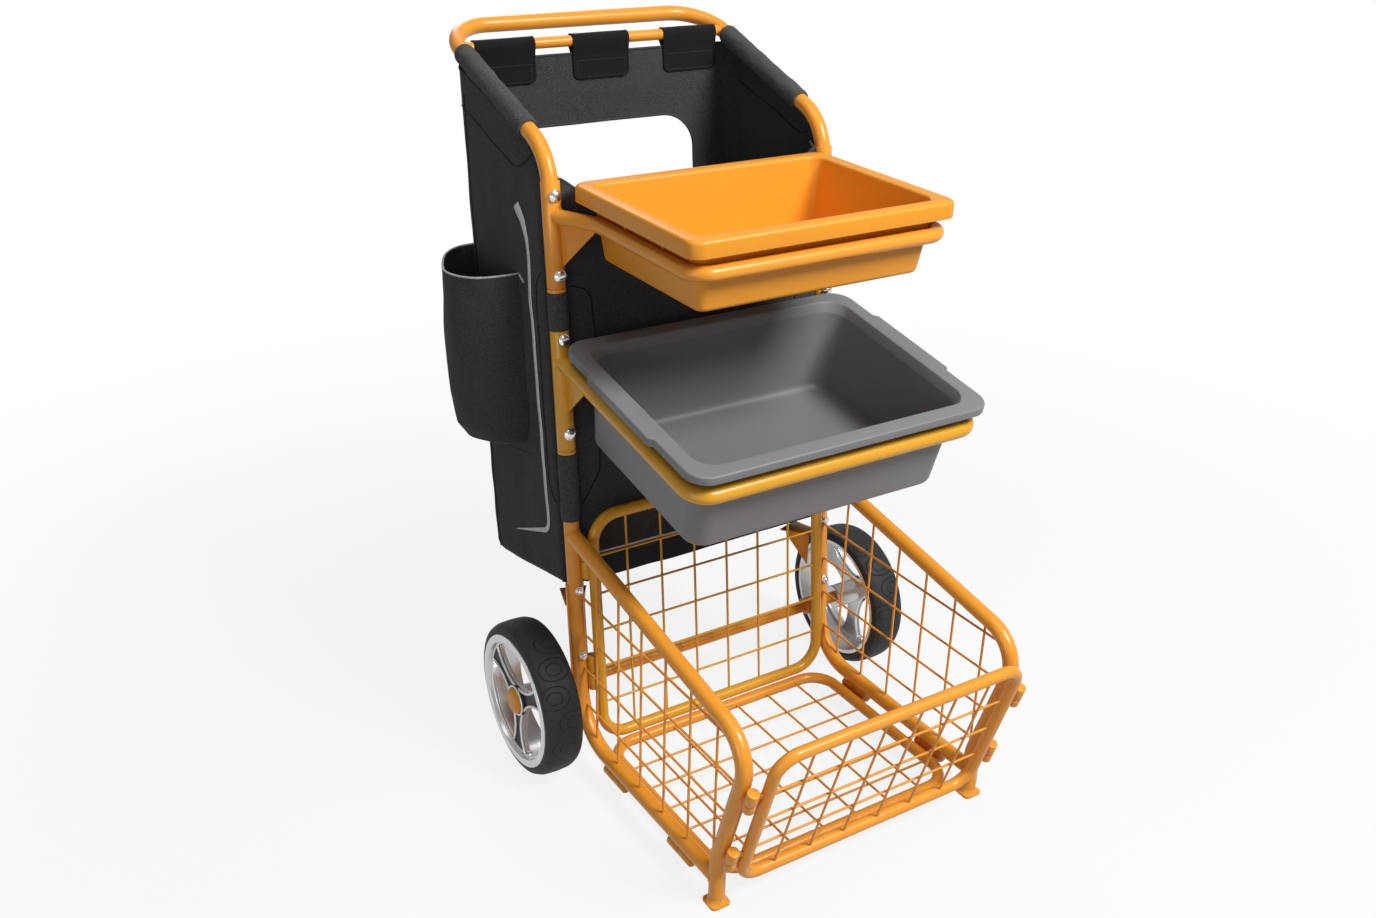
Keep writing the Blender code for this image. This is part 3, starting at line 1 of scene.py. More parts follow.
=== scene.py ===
"""Dresses the ball trolley: paint, moulded plastics, rubber, cloth and small detail.

Every length is in metres. Shapes are drawn in the frame of the uprights' feet, as the solid
part draws them, and are moved into the part's own frame when they are finished.
"""

import json
import math

import bmesh
import bpy
from mathutils import Matrix, Vector, noise

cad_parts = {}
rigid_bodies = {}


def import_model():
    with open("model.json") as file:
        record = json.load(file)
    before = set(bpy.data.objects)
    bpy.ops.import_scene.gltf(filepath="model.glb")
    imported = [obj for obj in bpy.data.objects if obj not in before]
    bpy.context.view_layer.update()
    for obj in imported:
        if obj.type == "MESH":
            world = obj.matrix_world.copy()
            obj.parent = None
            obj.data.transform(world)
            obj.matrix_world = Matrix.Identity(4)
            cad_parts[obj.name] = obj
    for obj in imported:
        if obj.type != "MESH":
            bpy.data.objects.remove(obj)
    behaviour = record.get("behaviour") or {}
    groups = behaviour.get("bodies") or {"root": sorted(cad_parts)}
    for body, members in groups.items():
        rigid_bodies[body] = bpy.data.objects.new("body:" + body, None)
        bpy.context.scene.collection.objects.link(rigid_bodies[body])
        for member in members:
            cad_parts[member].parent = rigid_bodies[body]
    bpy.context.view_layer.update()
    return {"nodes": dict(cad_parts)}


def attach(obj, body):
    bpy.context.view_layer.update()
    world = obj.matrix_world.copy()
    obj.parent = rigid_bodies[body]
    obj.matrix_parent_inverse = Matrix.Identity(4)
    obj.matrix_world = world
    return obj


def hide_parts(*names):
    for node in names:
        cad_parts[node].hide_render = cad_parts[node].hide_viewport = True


bl_info = {
    "name": "Ball Trolley Dressing",
    "version": (1, 0, 0),
    "blender": (4, 5, 0),
    "location": "View3D > Sidebar > Trolley",
    "description": "Builds the visible pieces of a ball trolley over its solid frame",
    "category": "Object",
}

for leftover in list(bpy.data.objects):
    bpy.data.objects.remove(leftover, do_unlink=True)
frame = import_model()

SIDES = (("left", -1), ("right", 1))
FULL_TURN = 2 * math.pi

# Frame tubes
SIDE_X = 0.2453
TUBE_R = 0.0125
LEAN = 0.0926
LEAN_FOOT_Z = 0.100
UPRIGHT_TOP_Z = 0.872
UPRIGHT_BEND_R = 0.085
BOTTOM_RAIL_Z = 0.0466
LEG_FOOT_Y = -0.410
LEG_SLOPE = 0.305
LEG_KNEE_Z = 0.082
LEG_BEND_R = 0.060
TOP_RAIL_SLOPE = 0.1786
TOP_RAIL_BACK_Z = 0.4054
FOOT_SIZE = 0.033
FOOT_THICK = 0.005
FOOT_CORNER_R = 0.007
SLANT_RUN = 2.903
SLANT_START_Z = 0.9957
HANDLE_Z = 1.121
HOOP_LOW_BEND_R = 0.080
HOOP_TOP_BEND_R = 0.075
BAR_Z = 1.0978
BAR_R = 0.0090
BAR_END_X = SIDE_X - 0.006

# Wire panels and hinge barrels
WIRE_R = 0.0020
WIRE_BITE = 0.0004
PANEL_TUBE_R = 0.0095
PANEL_HALF = 0.2200
PANEL_CORNER_R = 0.045
SIDE_WIRE_YS = [-0.0537 - 0.0693 * index for index in range(6)]
SIDE_RUNG_ZS = [0.1064 + 0.0658 * index for index in range(4)]
PANEL_WIRE_XS = [0.0637 * (index - 2.5) for index in range(6)]
BACK_PANEL_AHEAD = 0.0220
BACK_PANEL_Z = (0.0407, 0.4350)
FLOOR_Y = (-0.042, -0.392)
FLOOR_RUNG_YS = [-0.109 - 0.0566 * index for index in range(5)]
GATE_AHEAD = 0.0273
GATE_Z = (0.0477, 0.3083)
GATE_CORNER_R = 0.035
GATE_RUNG_ZS = [0.1135 + 0.0612 * index for index in range(3)]
BARREL_R = 0.0093
BARREL_HALF = 0.031
BARREL_AHEAD = 0.0250
BARREL_BITE = 0.0015
BARREL_SOFT = 0.0014
BARREL_SEAM = 0.0004
GATE_BARREL_LOW_Z = (0.0738, 0.204)
GATE_SEAM_UP = 0.0275
PIN_LENGTH = 0.0155
SLEEVE_LENGTH = 0.0225
BACK_BARREL_LOW_Z = (0.130, 0.330)
BACK_BARREL_AHEAD = 0.0115
FLOOR_BARREL_BACK_Y = (-0.086, -0.284)
TAB_HALF = 0.002
TAB_UP = 0.0065
TAB_X = (PANEL_HALF + PANEL_TUBE_R - 0.002, SIDE_X - BARREL_R + 0.002)

# Tray brackets and trays
PLAY = 0.0002
CLAMP_WALL = 0.0017
CLAMP_WRAP = 112
UPPER_CLAMP_Z = (0.7945, 0.9570)
LOWER_CLAMP_Z = (0.5415, 0.7365)
UPPER_RING = (0.2118, 0.0110, 0.0490, -0.2600)
LOWER_RING = (0.2453, 0.0125, 0.0420, -0.3400)
RING_CORNER_R = 0.032
RING_BITE = 0.004
RING_ELBOW_R = 0.05
RING_ELBOW_AHEAD = 0.070
GUSSET_REACH = 0.064
GUSSET_DROP = 0.071
COLLAR_HIGH = 0.0055
COLLAR_SEAM = 0.0009
TRAY_WALL = 0.003
TRAY_CORNER_STEPS = 10
RIB_HALF = 0.0015
TRAY_Z = 0.9561
TRAY_TILT = 0.0113
TRAY_HALF = 0.2238
TRAY_BACK = 0.0588
TRAY_FRONT = -0.2717
TRAY_CORNER_R = 0.022
TRAY_DEPTH = 0.111
TRAY_RIM = 0.0233
TRAY_SKIRT = 0.0247
TRAY_TAPER = 0.012
TUB_Z = 0.7235
TUB_TILT = 0.1765
TUB_HALF = 0.2597
TUB_BACK = 0.0270
TUB_FRONT = -0.3550
TUB_CORNER_R = 0.034
TUB_DEPTH = 0.155
TUB_RIM = 0.0257
TUB_SKIRT = 0.0130
TUB_TAPER = 0.010
TUB_SHOULDER = 0.016
LIP_OUT = 0.0068
LIP_SPAN = (-0.070, -0.240)
LIP_SLOPE = 0.007

# Wheels and axle
TYRE_R = 0.1286
WHEEL_INNER_X = 0.2928
WHEEL_OUTER_X = 0.3573
SHOULDER_R = 0.1194
TREAD_SHOULDER = 0.036
RIM_R = 0.1100
RIM_FACE_X = 0.3587
WEB_X = (0.3410, 0.3490)
WINDOW_R = 0.0955
WINDOW_ARC_R = 0.0790
WINDOW_NEAR_R = 0.0245
HUB_R = 0.0265
HUB_BORE_R = 0.0062
CAP_R = 0.0226
CAP_FACE_X = 0.3620
SPOKE_ANGLE = 30.0
SPOKE_FACE = 0.0014
SPOKE_PLATE_R = 0.0995
AXLE_TUBE_R = 0.0100
AXLE_TUBE_END_X = 0.2912
AXLE_BRACKET_Z = (0.138, 0.3185)
AXLE_RING_X = (0.2260, 0.2640)
SADDLE_WALL = 0.003
SHELF_Z = 0.275
SHELF_THICK = 0.0025

# Bolts: heights on the uprights, and the radius of heads and nuts
UPPER_BOLT_Z = (0.820, 0.9365)
LOWER_BOLT_Z = (0.576, 0.723)
AXLE_BOLT_Z = (0.195, 0.311)
BOLT_R = 0.0088
SMALL_BOLT_R = 0.0065
NUT_R = 0.0062

# Bag
BAG_HALF = 0.2605
BAG_WALL = 0.0018
BAG_DEPTH = 0.2845
BAG_CORNER_R = 0.030
BAG_LOW_FRONT_Z = 0.315
BAG_LOW_BACK_Z = 0.257
BAG_BACK_TOP_Z = 1.078
BAG_FRONT_TOP_Z = 0.957
BAG_SCOOP = 0.080
BAG_TUCK = 0.013
BAG_ROWS = 84
STITCH_LENGTH = 0.0028
THREAD_R = 0.00045
SLEEVE_ROOM = 0.0147
WINDOW_HALF = 0.178
WINDOW_Z = (0.790, 0.967)
WINDOW_CORNER_R = 0.060
SLANT_SLEEVE_Y = (0.146, 0.366)
UPPER_SLEEVE_Z = (0.7372, 0.7938)
LOWER_SLEEVE_Z = (0.4300, 0.5408)
STRAP_WIDTH = 0.104
STRAP_STEP = 0.172
STRAP_FRONT_LOW_Z = 1.037
STRAP_BACK_LOW_Z = 1.058
STRAP_CORNER_R = 0.011
POCKET_SPAN = (0.089, 0.264)
POCKET_BULGE = 0.082
POCKET_Z = (0.488, 0.800)
POCKET_RISE = 0.036

# Camera, as fitted to the photograph of 1376 pixels in width
CAMERA_PLACE = (-1.1317, -1.6842, 1.4502)
CAMERA_YAW, CAMERA_PITCH, CAMERA_ROLL = 0.5713, 0.4425, 0.02379
CAMERA_FOCUS = 1383 / 1376


def clamp(value, low=0.0, high=1.0):
    """Keep a number between two limits."""
    return max(low, min(high, value))


def ease(value):
    """Turn 0..1 into a soft start and a soft end."""
    value = clamp(value)
    return value * value * (3 - 2 * value)


def lean_y(z):
    """How far back the upright's axis is at a height."""
    return LEAN * (z - LEAN_FOOT_Z)


def lean_point(x, back, z):
    """A point behind the upright's axis line at a height."""
    return Vector((x, lean_y(z) + back, z))


def slant_z(y):
    """The height of the hoop's slanting side tube."""
    return SLANT_START_Z + (y - lean_y(SLANT_START_Z)) / SLANT_RUN


def slant_y(z):
    """How far back the hoop's slanting side tube is at a height."""
    return lean_y(SLANT_START_Z) + SLANT_RUN * (z - SLANT_START_Z)


def top_rail_z(y):
    """The height of the basket's top rail."""
    return TOP_RAIL_BACK_Z + TOP_RAIL_SLOPE * (y - lean_y(TOP_RAIL_BACK_Z))


def leg_y(z):
    """The front leg's centre line above its knee."""
    return LEG_FOOT_Y - LEG_SLOPE * (z - LEG_KNEE_Z)


def gate_y(z, ahead=GATE_AHEAD):
    """The gate's plane, ahead of the leg by a distance square to the leg."""
    return leg_y(z) - ahead * math.hypot(1, LEG_SLOPE)


ACROSS = Vector((1, 0, 0))
UP = Vector((0, 0, 1))
LEAN_AXIS = Vector((0, LEAN, 1)).normalized()
LEAN_BACK = Vector((0, 1, -LEAN)).normalized()
SLANT_AXIS = Vector((0, SLANT_RUN, 1)).normalized()
GATE_AXIS = Vector((0, -LEG_SLOPE, 1)).normalized()
GATE_OUT = Vector((0, -1, -LEG_SLOPE)).normalized()
FLOOR_Z = BOTTOM_RAIL_Z - TUBE_R - BARREL_R + BARREL_BITE / 2
HANDLE_BACK_Y = slant_y(HANDLE_Z) + TUBE_R
GATE_FRONT_Y = gate_y(GATE_Z[1]) - PANEL_TUBE_R
SHIFT = Vector((0, -(HANDLE_BACK_Y + GATE_FRONT_Y) / 2, 0))
AXLE_Y = lean_y(TYRE_R) + (TUBE_R + AXLE_TUBE_R + 0.0003) * math.hypot(1, LEAN)
WHEEL_CENTRE = Vector((0, AXLE_Y, TYRE_R))


def circle_points(radius, count, start=0.0):
    """Even points round a circle, as (a, b) pairs."""
    angles = [start + FULL_TURN * step / count for step in range(count)]
    return [(radius * math.cos(angle), radius * math.sin(angle)) for angle in angles]


def bend(corners, step=5.0):
    """A centre line through (point, bend radius) corners, each bend turned as an arc."""
    path = []
    for index, (corner, radius) in enumerate(corners):
        corner = Vector(corner)
        before = Vector(corners[index - 1][0])
        after = Vector(corners[(index + 1) % len(corners)][0])
        back = (before - corner).normalized()
        on = (after - corner).normalized()
        turn = math.pi - back.angle(on, math.pi)
        if radius == 0 or turn < 0.02:
            path.append(corner)
            continue
        reach = radius * math.tan(turn / 2)
        centre = corner + (back + on).normalized() * radius / math.cos(turn / 2)
        first = corner + back * reach - centre
        last = corner + on * reach - centre
        across = (last - first * math.cos(turn)) / math.sin(turn)
        pieces = max(2, round(math.degrees(turn) / step))
        for piece in range(pieces + 1):
            angle = turn * piece / pieces
            path.append(centre + first * math.cos(angle) + across * math.sin(angle))
    return path


def flat_bend(corners, step):
    """A flat line through (a, b, bend radius) corners, as (a, b) pairs."""
    return [(point.x, point.y) for point in bend([((a, b, 0), soft) for a, b, soft in corners], step)]


def rounded_outline(half_x, back, front, radius, pieces):
    """The corners of a rounded rectangle, each as an arc, as (x, y) pairs."""
    outline = []
    centres = ((half_x, back, 0), (-half_x, back, 90), (-half_x, front, 180), (half_x, front, 270))
    for x, y, start in centres:
        centre_x = x - math.copysign(radius, x)
        centre_y = y - radius if y == back else y + radius
        for piece in range(pieces + 1):
            angle = math.radians(start + 90 * piece / pieces)
            outline.append((centre_x + radius * math.cos(angle), centre_y + radius * math.sin(angle)))
    return outline


def spaced(path, gap, closed=False):
    """The same line with points no further apart than a gap."""
    path = [Vector(point) for point in path]
    ends = list(zip(path, path[1:] + path[:1] if closed else path[1:]))
    line = []
    for start, end in ends:
        count = max(1, math.ceil((end - start).length / gap))
        line += [start.lerp(end, step / count) for step in range(count)]
    return line if closed else line + [path[-1]]


def lengths_along(line):
    """The running length at each point of a line."""
    run = [0.0]
    for start, end in zip(line, line[1:]):
        run.append(run[-1] + math.dist(start, end))
    return run


def way_along(line, index):
    """The direction of a line at one of its points."""
    return (line[min(index + 1, len(line) - 1)] - line[max(index - 1, 0)]).normalized()


def hoop_line():
    """The centre line of the handle hoop."""
    corners = []
    for side in (-1, 1):
        x = side * SIDE_X
        foot = (lean_point(x, 0, UPRIGHT_TOP_Z), 0)
        knee = (lean_point(x, 0, SLANT_START_Z), HOOP_LOW_BEND_R)
        top = (Vector((x, slant_y(HANDLE_Z), HANDLE_Z)), HOOP_TOP_BEND_R)
        corners += [foot, knee, top] if side < 0 else [top, knee, foot]
    return bend(corners)


def upright_line(side):
    """The centre line of an upright that turns forward into its bottom rail."""
    x = side * SIDE_X
    knee = ((x, lean_y(BOTTOM_RAIL_Z), BOTTOM_RAIL_Z), UPRIGHT_BEND_R)
    return bend([(lean_point(x, 0, UPRIGHT_TOP_Z), 0), knee, ((x, LEG_FOOT_Y, BOTTOM_RAIL_Z), 0)])


def leg_line(side):
    """The centre line of a top rail that turns down into its front leg."""
    x = side * SIDE_X
    top_z = top_rail_z(LEG_FOOT_Y + LEG_SLOPE * LEG_KNEE_Z) / (1 + TOP_RAIL_SLOPE * LEG_SLOPE)
    return bend([((x, lean_y(TOP_RAIL_BACK_Z), TOP_RAIL_BACK_Z), 0),
                 ((x, leg_y(top_z), top_z), LEG_BEND_R),
                 ((x, LEG_FOOT_Y, LEG_KNEE_Z), LEG_BEND_R),
                 ((x, LEG_FOOT_Y, FOOT_THICK * 0.8), 0)])


def depth_at(line, z):
    """How far back a centre line is where it last passes a height."""
    found = line[0].y
    for start, end in zip(line, line[1:]):
        if min(start.z, end.z) <= z <= max(start.z, end.z) and start.z != end.z:
            found = start.y + (end.y - start.y) * (z - start.z) / (end.z - start.z)
    return found


def tray_frame(height, tilt):
    """The matrix of a tray's own frame: X across, Y up the slope, Z square to the rim."""
    return Matrix.Translation((0, 0, height)) @ Matrix.Rotation(tilt, 4, "X")


def seam_round(point, along, radius, other_along, other_radius):
    """The line where a tube ends on the skin of another tube through its axis, for its weld."""
    along, other_along = along.normalized(), other_along.normalized()
    first = along.orthogonal().normalized()
    second = along.cross(first)
    flat = along - other_along * along.dot(other_along)
    line = []
    for a, b in circle_points(1.0, 28):
        start = point + (first * a + second * b) * radius
        gap = start - point
        gap -= other_along * gap.dot(other_along)
        square, mixed, rest = flat.dot(flat), gap.dot(flat), gap.dot(gap) - other_radius ** 2
        reach = (-mixed + math.sqrt(max(mixed * mixed - square * rest, 0.0))) / square
        line.append(start + along * reach)
    return line


class Shape:
    """Points, faces and cloth coordinates of a piece while it is put together."""

    def __init__(self):
        self.points = []
        self.faces = []
        self.cloth = []

    def add(self, points, faces, place=None, cloth=None):
        """Take in more points and faces, moved by a matrix."""
        base = len(self.points)
        self.points += [place @ Vector(point) if place else Vector(point) for point in points]
        self.faces += [[base + index for index in face] for face in faces]
        self.cloth += cloth or [(0.0, 0.0)] * len(points)
        return self

    def skin(self, rings, around=True, ends=True, place=None, cloth=None):
        """Quads between equal rings of points, with flat ends where asked."""
        count = len(rings[0])
        faces = []
        for level in range(len(rings) - 1):
            low, high = level * count, (level + 1) * count
            for side in range(count if around else count - 1):
                on = (side + 1) % count
                faces.append((low + side, low + on, high + on, high + side))
        if ends and around:
            faces.append(tuple(range(count)))
            last = (len(rings) - 1) * count
            faces.append(tuple(last + side for side in range(count)))
        points = [point for ring in rings for point in ring]
        flat = [pair for ring in cloth for pair in ring] if cloth else None
        return self.add(points, faces, place, flat)

    def loft(self, rows, place=None):
        """An open skin through rows of (point, cloth coordinates)."""
        rings = [[point for point, pair in row] for row in rows]
        cloth = [[pair for point, pair in row] for row in rows]
        return self.skin(rings, around=False, ends=False, place=place, cloth=cloth)

    def slab(self, outline, depth, place=None):
        """An outline of points pushed along a vector."""
        low = [Vector(point) for point in outline]
        return self.skin([low, [point + Vector(depth) for point in low]], place=place)

    def block(self, xs, ys, zs, place=None):
        """A plain block between two limits each way."""
        outline = [(min(xs), ys[0], zs[0]), (max(xs), ys[0], zs[0])]
        outline += [(max(xs), ys[1], zs[0]), (min(xs), ys[1], zs[0])]
        return self.slab(outline, (0, 0, zs[1] - zs[0]), place)

    def turned(self, profile, steps=48, place=None, closed=False):
        """A profile of (radius, height) points turned round Z, with points where it meets Z."""
        rings = [[Vector((a, b, height)) for a, b in circle_points(radius, steps)]
                 for radius, height in profile]
        return self.skin(rings + rings[:1] if closed else rings, ends=False, place=place)

    def mesh(self, outward=True):
        """The finished mesh: doubles merged, faces turned outward, cloth coordinates kept."""
        mesh = bpy.data.meshes.new("shape")
        mesh.from_pydata([tuple(point) for point in self.points], [], self.faces)
        layer = mesh.uv_layers.new(name="cloth")
        for loop in mesh.loops:
            layer.data[loop.index].uv = self.cloth[loop.vertex_index]
        work = bmesh.new()
        work.from_mesh(mesh)
        bmesh.ops.remove_doubles(work, verts=work.verts, dist=0.00002)
        if outward:
            bmesh.ops.recalc_face_normals(work, faces=work.faces)
        work.to_mesh(mesh)
        work.free()
        return mesh


def linked(name, data):
    """A new object in the scene."""
    obj = bpy.data.objects.new(name, data)
    bpy.context.scene.collection.objects.link(obj)
    return obj


def plain(obj):
    """The evaluated mesh of a helper object, which is then taken out."""
    bpy.context.view_layer.update()
    graph = bpy.context.evaluated_depsgraph_get()
    mesh = bpy.data.meshes.new_from_object(obj.evaluated_get(graph))
    obj.modifiers.clear()
    bpy.data.objects.remove(obj, do_unlink=True)
    return mesh


def worked(mesh, kind, **settings):
    """Run one modifier on a mesh and give back the plain result."""
    obj = linked("helper", mesh)
    modifier = obj.modifiers.new(kind.title(), kind)
    for key, value in settings.items():
        setattr(modifier, key, value)
    return plain(obj)


def eased(mesh, width, angle=30):
    """Round the sharp edges of a mesh."""
    return worked(mesh, "BEVEL", width=width, segments=2, limit_method="ANGLE",
                  angle_limit=math.radians(angle))


def walled(mesh, thickness, offset=0.0):
    """Give a sheet its thickness."""
    return worked(mesh, "SOLIDIFY", thickness=thickness, offset=offset)


def cut_out(mesh, cutter):
    """Cut one mesh out of another."""
    tool = linked("helper", cutter)
    mesh = worked(mesh, "BOOLEAN", operation="DIFFERENCE", solver="EXACT", object=tool)
    bpy.data.objects.remove(tool, do_unlink=True)
    return mesh


def merged(*meshes):
    """Several meshes as one."""
    work = bmesh.new()
    for mesh in meshes:
        work.from_mesh(mesh)
    result = bpy.data.meshes.new("merged")
    work.to_mesh(result)
    work.free()
    return result


def line_mesh(lines):
    """A mesh of bare edges from (points, closed) lines."""
    points, edges = [], []
    for line, closed in lines:
        base = len(points)
        points += [tuple(point) for point in line]
        edges += [(base + index, base + index + 1) for index in range(len(line) - 1)]
        if closed:
            edges.append((base + len(line) - 1, base))
    mesh = bpy.data.meshes.new("lines")
    mesh.from_pydata(points, edges, [])
    return mesh


def settle(name, mesh, look, *nodes, body="frame", slot=None, sharp=38):
    """Make a finished mesh a piece of the trolley that moves with its body."""
    mesh.name = name
    mesh.transform(Matrix.Translation(SHIFT))
    mesh.shade_smooth()
    mesh.set_sharp_from_angle(angle=math.radians(sharp))
    mesh.materials.clear()
    mesh.materials.append(finish(look))
    obj = linked(name, mesh)
    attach(obj, body)
    if nodes:
        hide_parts(*nodes)


class Value:
    """A number in a node tree: sums written on it add the maths nodes."""

    def __init__(self, book, socket):
        self.book = book
        self.socket = socket

    def maths(self, operation, *terms):
        """One maths node on these terms."""
        node = self.book.node("ShaderNodeMath", {"operation": operation}, dict(enumerate(terms)))
        return Value(self.book, node.outputs[0])

    def __add__(self, other):
        return self.maths("ADD", self, other)

    def __sub__(self, other):
        return self.maths("SUBTRACT", self, other)

    def __mul__(self, other):
        return self.maths("MULTIPLY", self, other)

    def __truediv__(self, other):
        return self.maths("DIVIDE", self, other)

    def __rsub__(self, other):
        return self.maths("SUBTRACT", other, self)

    __radd__ = __add__
    __rmul__ = __mul__

    def sine(self):
        return self.maths("SINE", self)

    def size(self):
        return self.maths("ABSOLUTE", self)

    def most(self, other):
        return self.maths("MAXIMUM", self, other)

    def root(self):
        return self.maths("SQRT", self)

    def fraction(self):
        return self.maths("FRACT", self)

    def within(self, low, high):
        """0 below low, 1 above high and soft between them."""
        settings = {"interpolation_type": "SMOOTHSTEP", "clamp": True}
        values = {"Value": self, "From Min": low, "From Max": high}
        node = self.book.node("ShaderNodeMapRange", settings, values)
        return Value(self.book, node.outputs[0])


class NodeBook:
    """Adds nodes to a tree: a node's settings first, then its values and links."""

    def __init__(self, tree):
        self.tree = tree

    def node(self, kind, settings=None, values=None):
        node = self.tree.nodes.new(kind)
        for key, value in (settings or {}).items():
            setattr(node, key, value)
        for key, value in (values or {}).items():
            self.feed(node.inputs[key], value)
        return node

    def feed(self, socket, value):
        if isinstance(value, Value):
            value = value.socket
        if isinstance(value, bpy.types.Node):
            value = value.outputs[0]
        if isinstance(value, bpy.types.NodeSocket):
            self.tree.links.new(value, socket)
        else:
            socket.default_value = value


class Finish(NodeBook):
    """A material while it is built."""

    def __init__(self, name, roughness, metallic=0.0, coat=0.0, sheen=0.0, specular=0.5):
        self.material = bpy.data.materials.new(name)
        self.material.use_nodes = True
        super().__init__(self.material.node_tree)
        self.shader = self.tree.nodes["Principled BSDF"]
        even = {"Roughness": roughness, "Metallic": metallic, "Specular IOR Level": specular,
                "Coat Weight": coat, "Coat Roughness": 0.25, "Sheen Weight": sheen, "Sheen Roughness": 0.6}
        for title, value in even.items():
            self.shader.inputs[title].default_value = value
        self.object_place = self.node("ShaderNodeTexCoord").outputs["Object"]

    def noise(self, scale, detail=3.0, stretch=None):
        """Even noise from 0 to 1, with features about 1 / scale metres across."""
        place = self.object_place
        if stretch:
            place = self.node("ShaderNodeMapping", None, {0: place, 3: stretch})
        values = {"Vector": place, "Scale": scale, "Detail": detail}
        return Value(self, self.node("ShaderNodeTexNoise", None, values).outputs["Fac"])

    def cloth_places(self):
        """The two coordinates along the cloth, in metres."""
        cloth = self.node("ShaderNodeUVMap", {"uv_map": "cloth"})
        parts = self.node("ShaderNodeSeparateXYZ", None, {0: cloth})
        return [Value(self, output) for output in parts.outputs[:2]]

    def colours(self, mask, low, high):
        """A colour between two, by a mask."""
        values = {0: mask, 6: low, 7: high}
        node = self.node("ShaderNodeMix", {"data_type": "RGBA"}, values)
        return node.outputs[2]

    def bump(self, height, depth, under=None):
        """A normal from a height, with the real depth of the relief."""
        values = {"Height": height, "Distance": depth, "Strength": 1.0}
        if under is not None:
            values["Normal"] = under
        return self.node("ShaderNodeBump", None, values)

    def set(self, **values):
        """Feed the shader's sockets, named with underscores for spaces."""
        for name, value in values.items():
            self.feed(self.shader.inputs[name.replace("_", " ").title()], value)
        return self.material


def shade(colour, share):
    """A colour made darker or lighter by a share, as four numbers."""
    return (*[clamp(part * share) for part in colour[:3]], 1.0)


def powder_coat(name, colour):
    """Powder coat on steel: an even gloss with a faint orange-peel skin and dull patches."""
    finish = Finish(name, 0.30, coat=0.08, specular=0.40)
    broad = finish.noise(9.0)
    fine = finish.noise(420.0, 2.0)
    base = finish.colours(broad, shade(colour, 0.94), shade(colour, 1.05))
    speck = finish.noise(1400.0, 1.0).within(0.72, 0.80)
    base = finish.colours(speck * 0.35, base, shade(colour, 0.70))
    skin = finish.bump(fine, 0.00006)
    return finish.set(base_color=base, roughness=0.22 + broad * 0.10 + fine * 0.05, normal=skin)


def moulded_plastic(name, colour, roughness, grain=0.00004):
    """Injection-moulded plastic: fine spark grain, slow colour drift and faint flow marks."""
    finish = Finish(name, roughness, specular=0.36)
    drift = finish.noise(5.0, 2.0)
    flow = finish.noise(30.0, 4.0, stretch=(1.0, 6.0, 1.0))
    base = finish.colours(drift, shade(colour, 0.95), shade(colour, 1.05))
    base = finish.colours(flow.within(0.45, 0.8) * 0.25, base, shade(colour, 1.12))
    spark = finish.noise(1800.0, 2.0)
    rough = roughness - 0.05 + drift * 0.06 + spark * 0.06
    return finish.set(base_color=base, roughness=rough, normal=finish.bump(spark, grain))


def silver_paint(name, colour):
    """Sprayed silver on a moulded wheel: metal flakes under a soft clear skin."""
    finish = Finish(name, 0.28, metallic=0.70, coat=0.15)
    flake = finish.noise(2600.0, 1.0)
    cloud = finish.noise(14.0)
    base = finish.colours(cloud, shade(colour, 0.93), shade(colour, 1.05))
    base = finish.colours(flake.within(0.55, 0.75) * 0.4, base, shade(colour, 1.35))
    return finish.set(base_color=base, roughness=0.20 + flake * 0.14, normal=finish.bump(flake, 0.00001))


def plated_steel(name, colour):
    """Bright zinc on fasteners, with turning marks and a slightly cloudy gloss."""
    finish = Finish(name, 0.22, metallic=1.0)
    cloud = finish.noise(160.0)
    marks = finish.noise(900.0, 2.0, stretch=(1.0, 1.0, 5.0))
    base = finish.colours(cloud, shade(colour, 0.80), shade(colour, 1.05))
    return finish.set(base_color=base, roughness=0.12 + cloud * 0.14, normal=finish.bump(marks, 0.00001))


def tyre_rubber(name, colour):
    """Tyre rubber: mould marks, dust in the tread, and engraved tread lines with painted shade in them."""
    finish = Finish(name, 0.62, specular=0.30)
    around, across = finish.cloth_places()
    # Nested ovals across the tread, each third one nearer to the same shoulder.
    block = around - around.fraction()
    share = around.fraction() - 0.5
    off = across - (block * (FULL_TURN / 3)).sine() * 0.42
    far = ((share * share) * 5.6 + (off * off) * 1.9).root()
    groove = 1.0 - (far - 0.98).size().within(0.0, 0.060)
    groove = groove.most(1.0 - (far - 0.52).size().within(0.0, 0.050))
    groove = groove * (1.0 - across.size().within(1.00, 1.08))
    dome = 1.0 - far.within(0.0, 0.98)
    dust = finish.noise(60.0, 5.0)
    base = finish.colours(dust, shade(colour, 0.85), shade(colour, 1.35))
    # The grooves are painted darker in the base colour: painted shade in the engraved lines.
    base = finish.colours(groove * 0.60, base, shade(colour, 0.35))
    fine = finish.bump(finish.noise(1300.0, 2.0), 0.00005)
    relief = finish.bump(1.0 - groove + dome * 0.6, 0.0013, fine)
    return finish.set(base_color=base, roughness=0.52 + dust * 0.2, normal=relief)


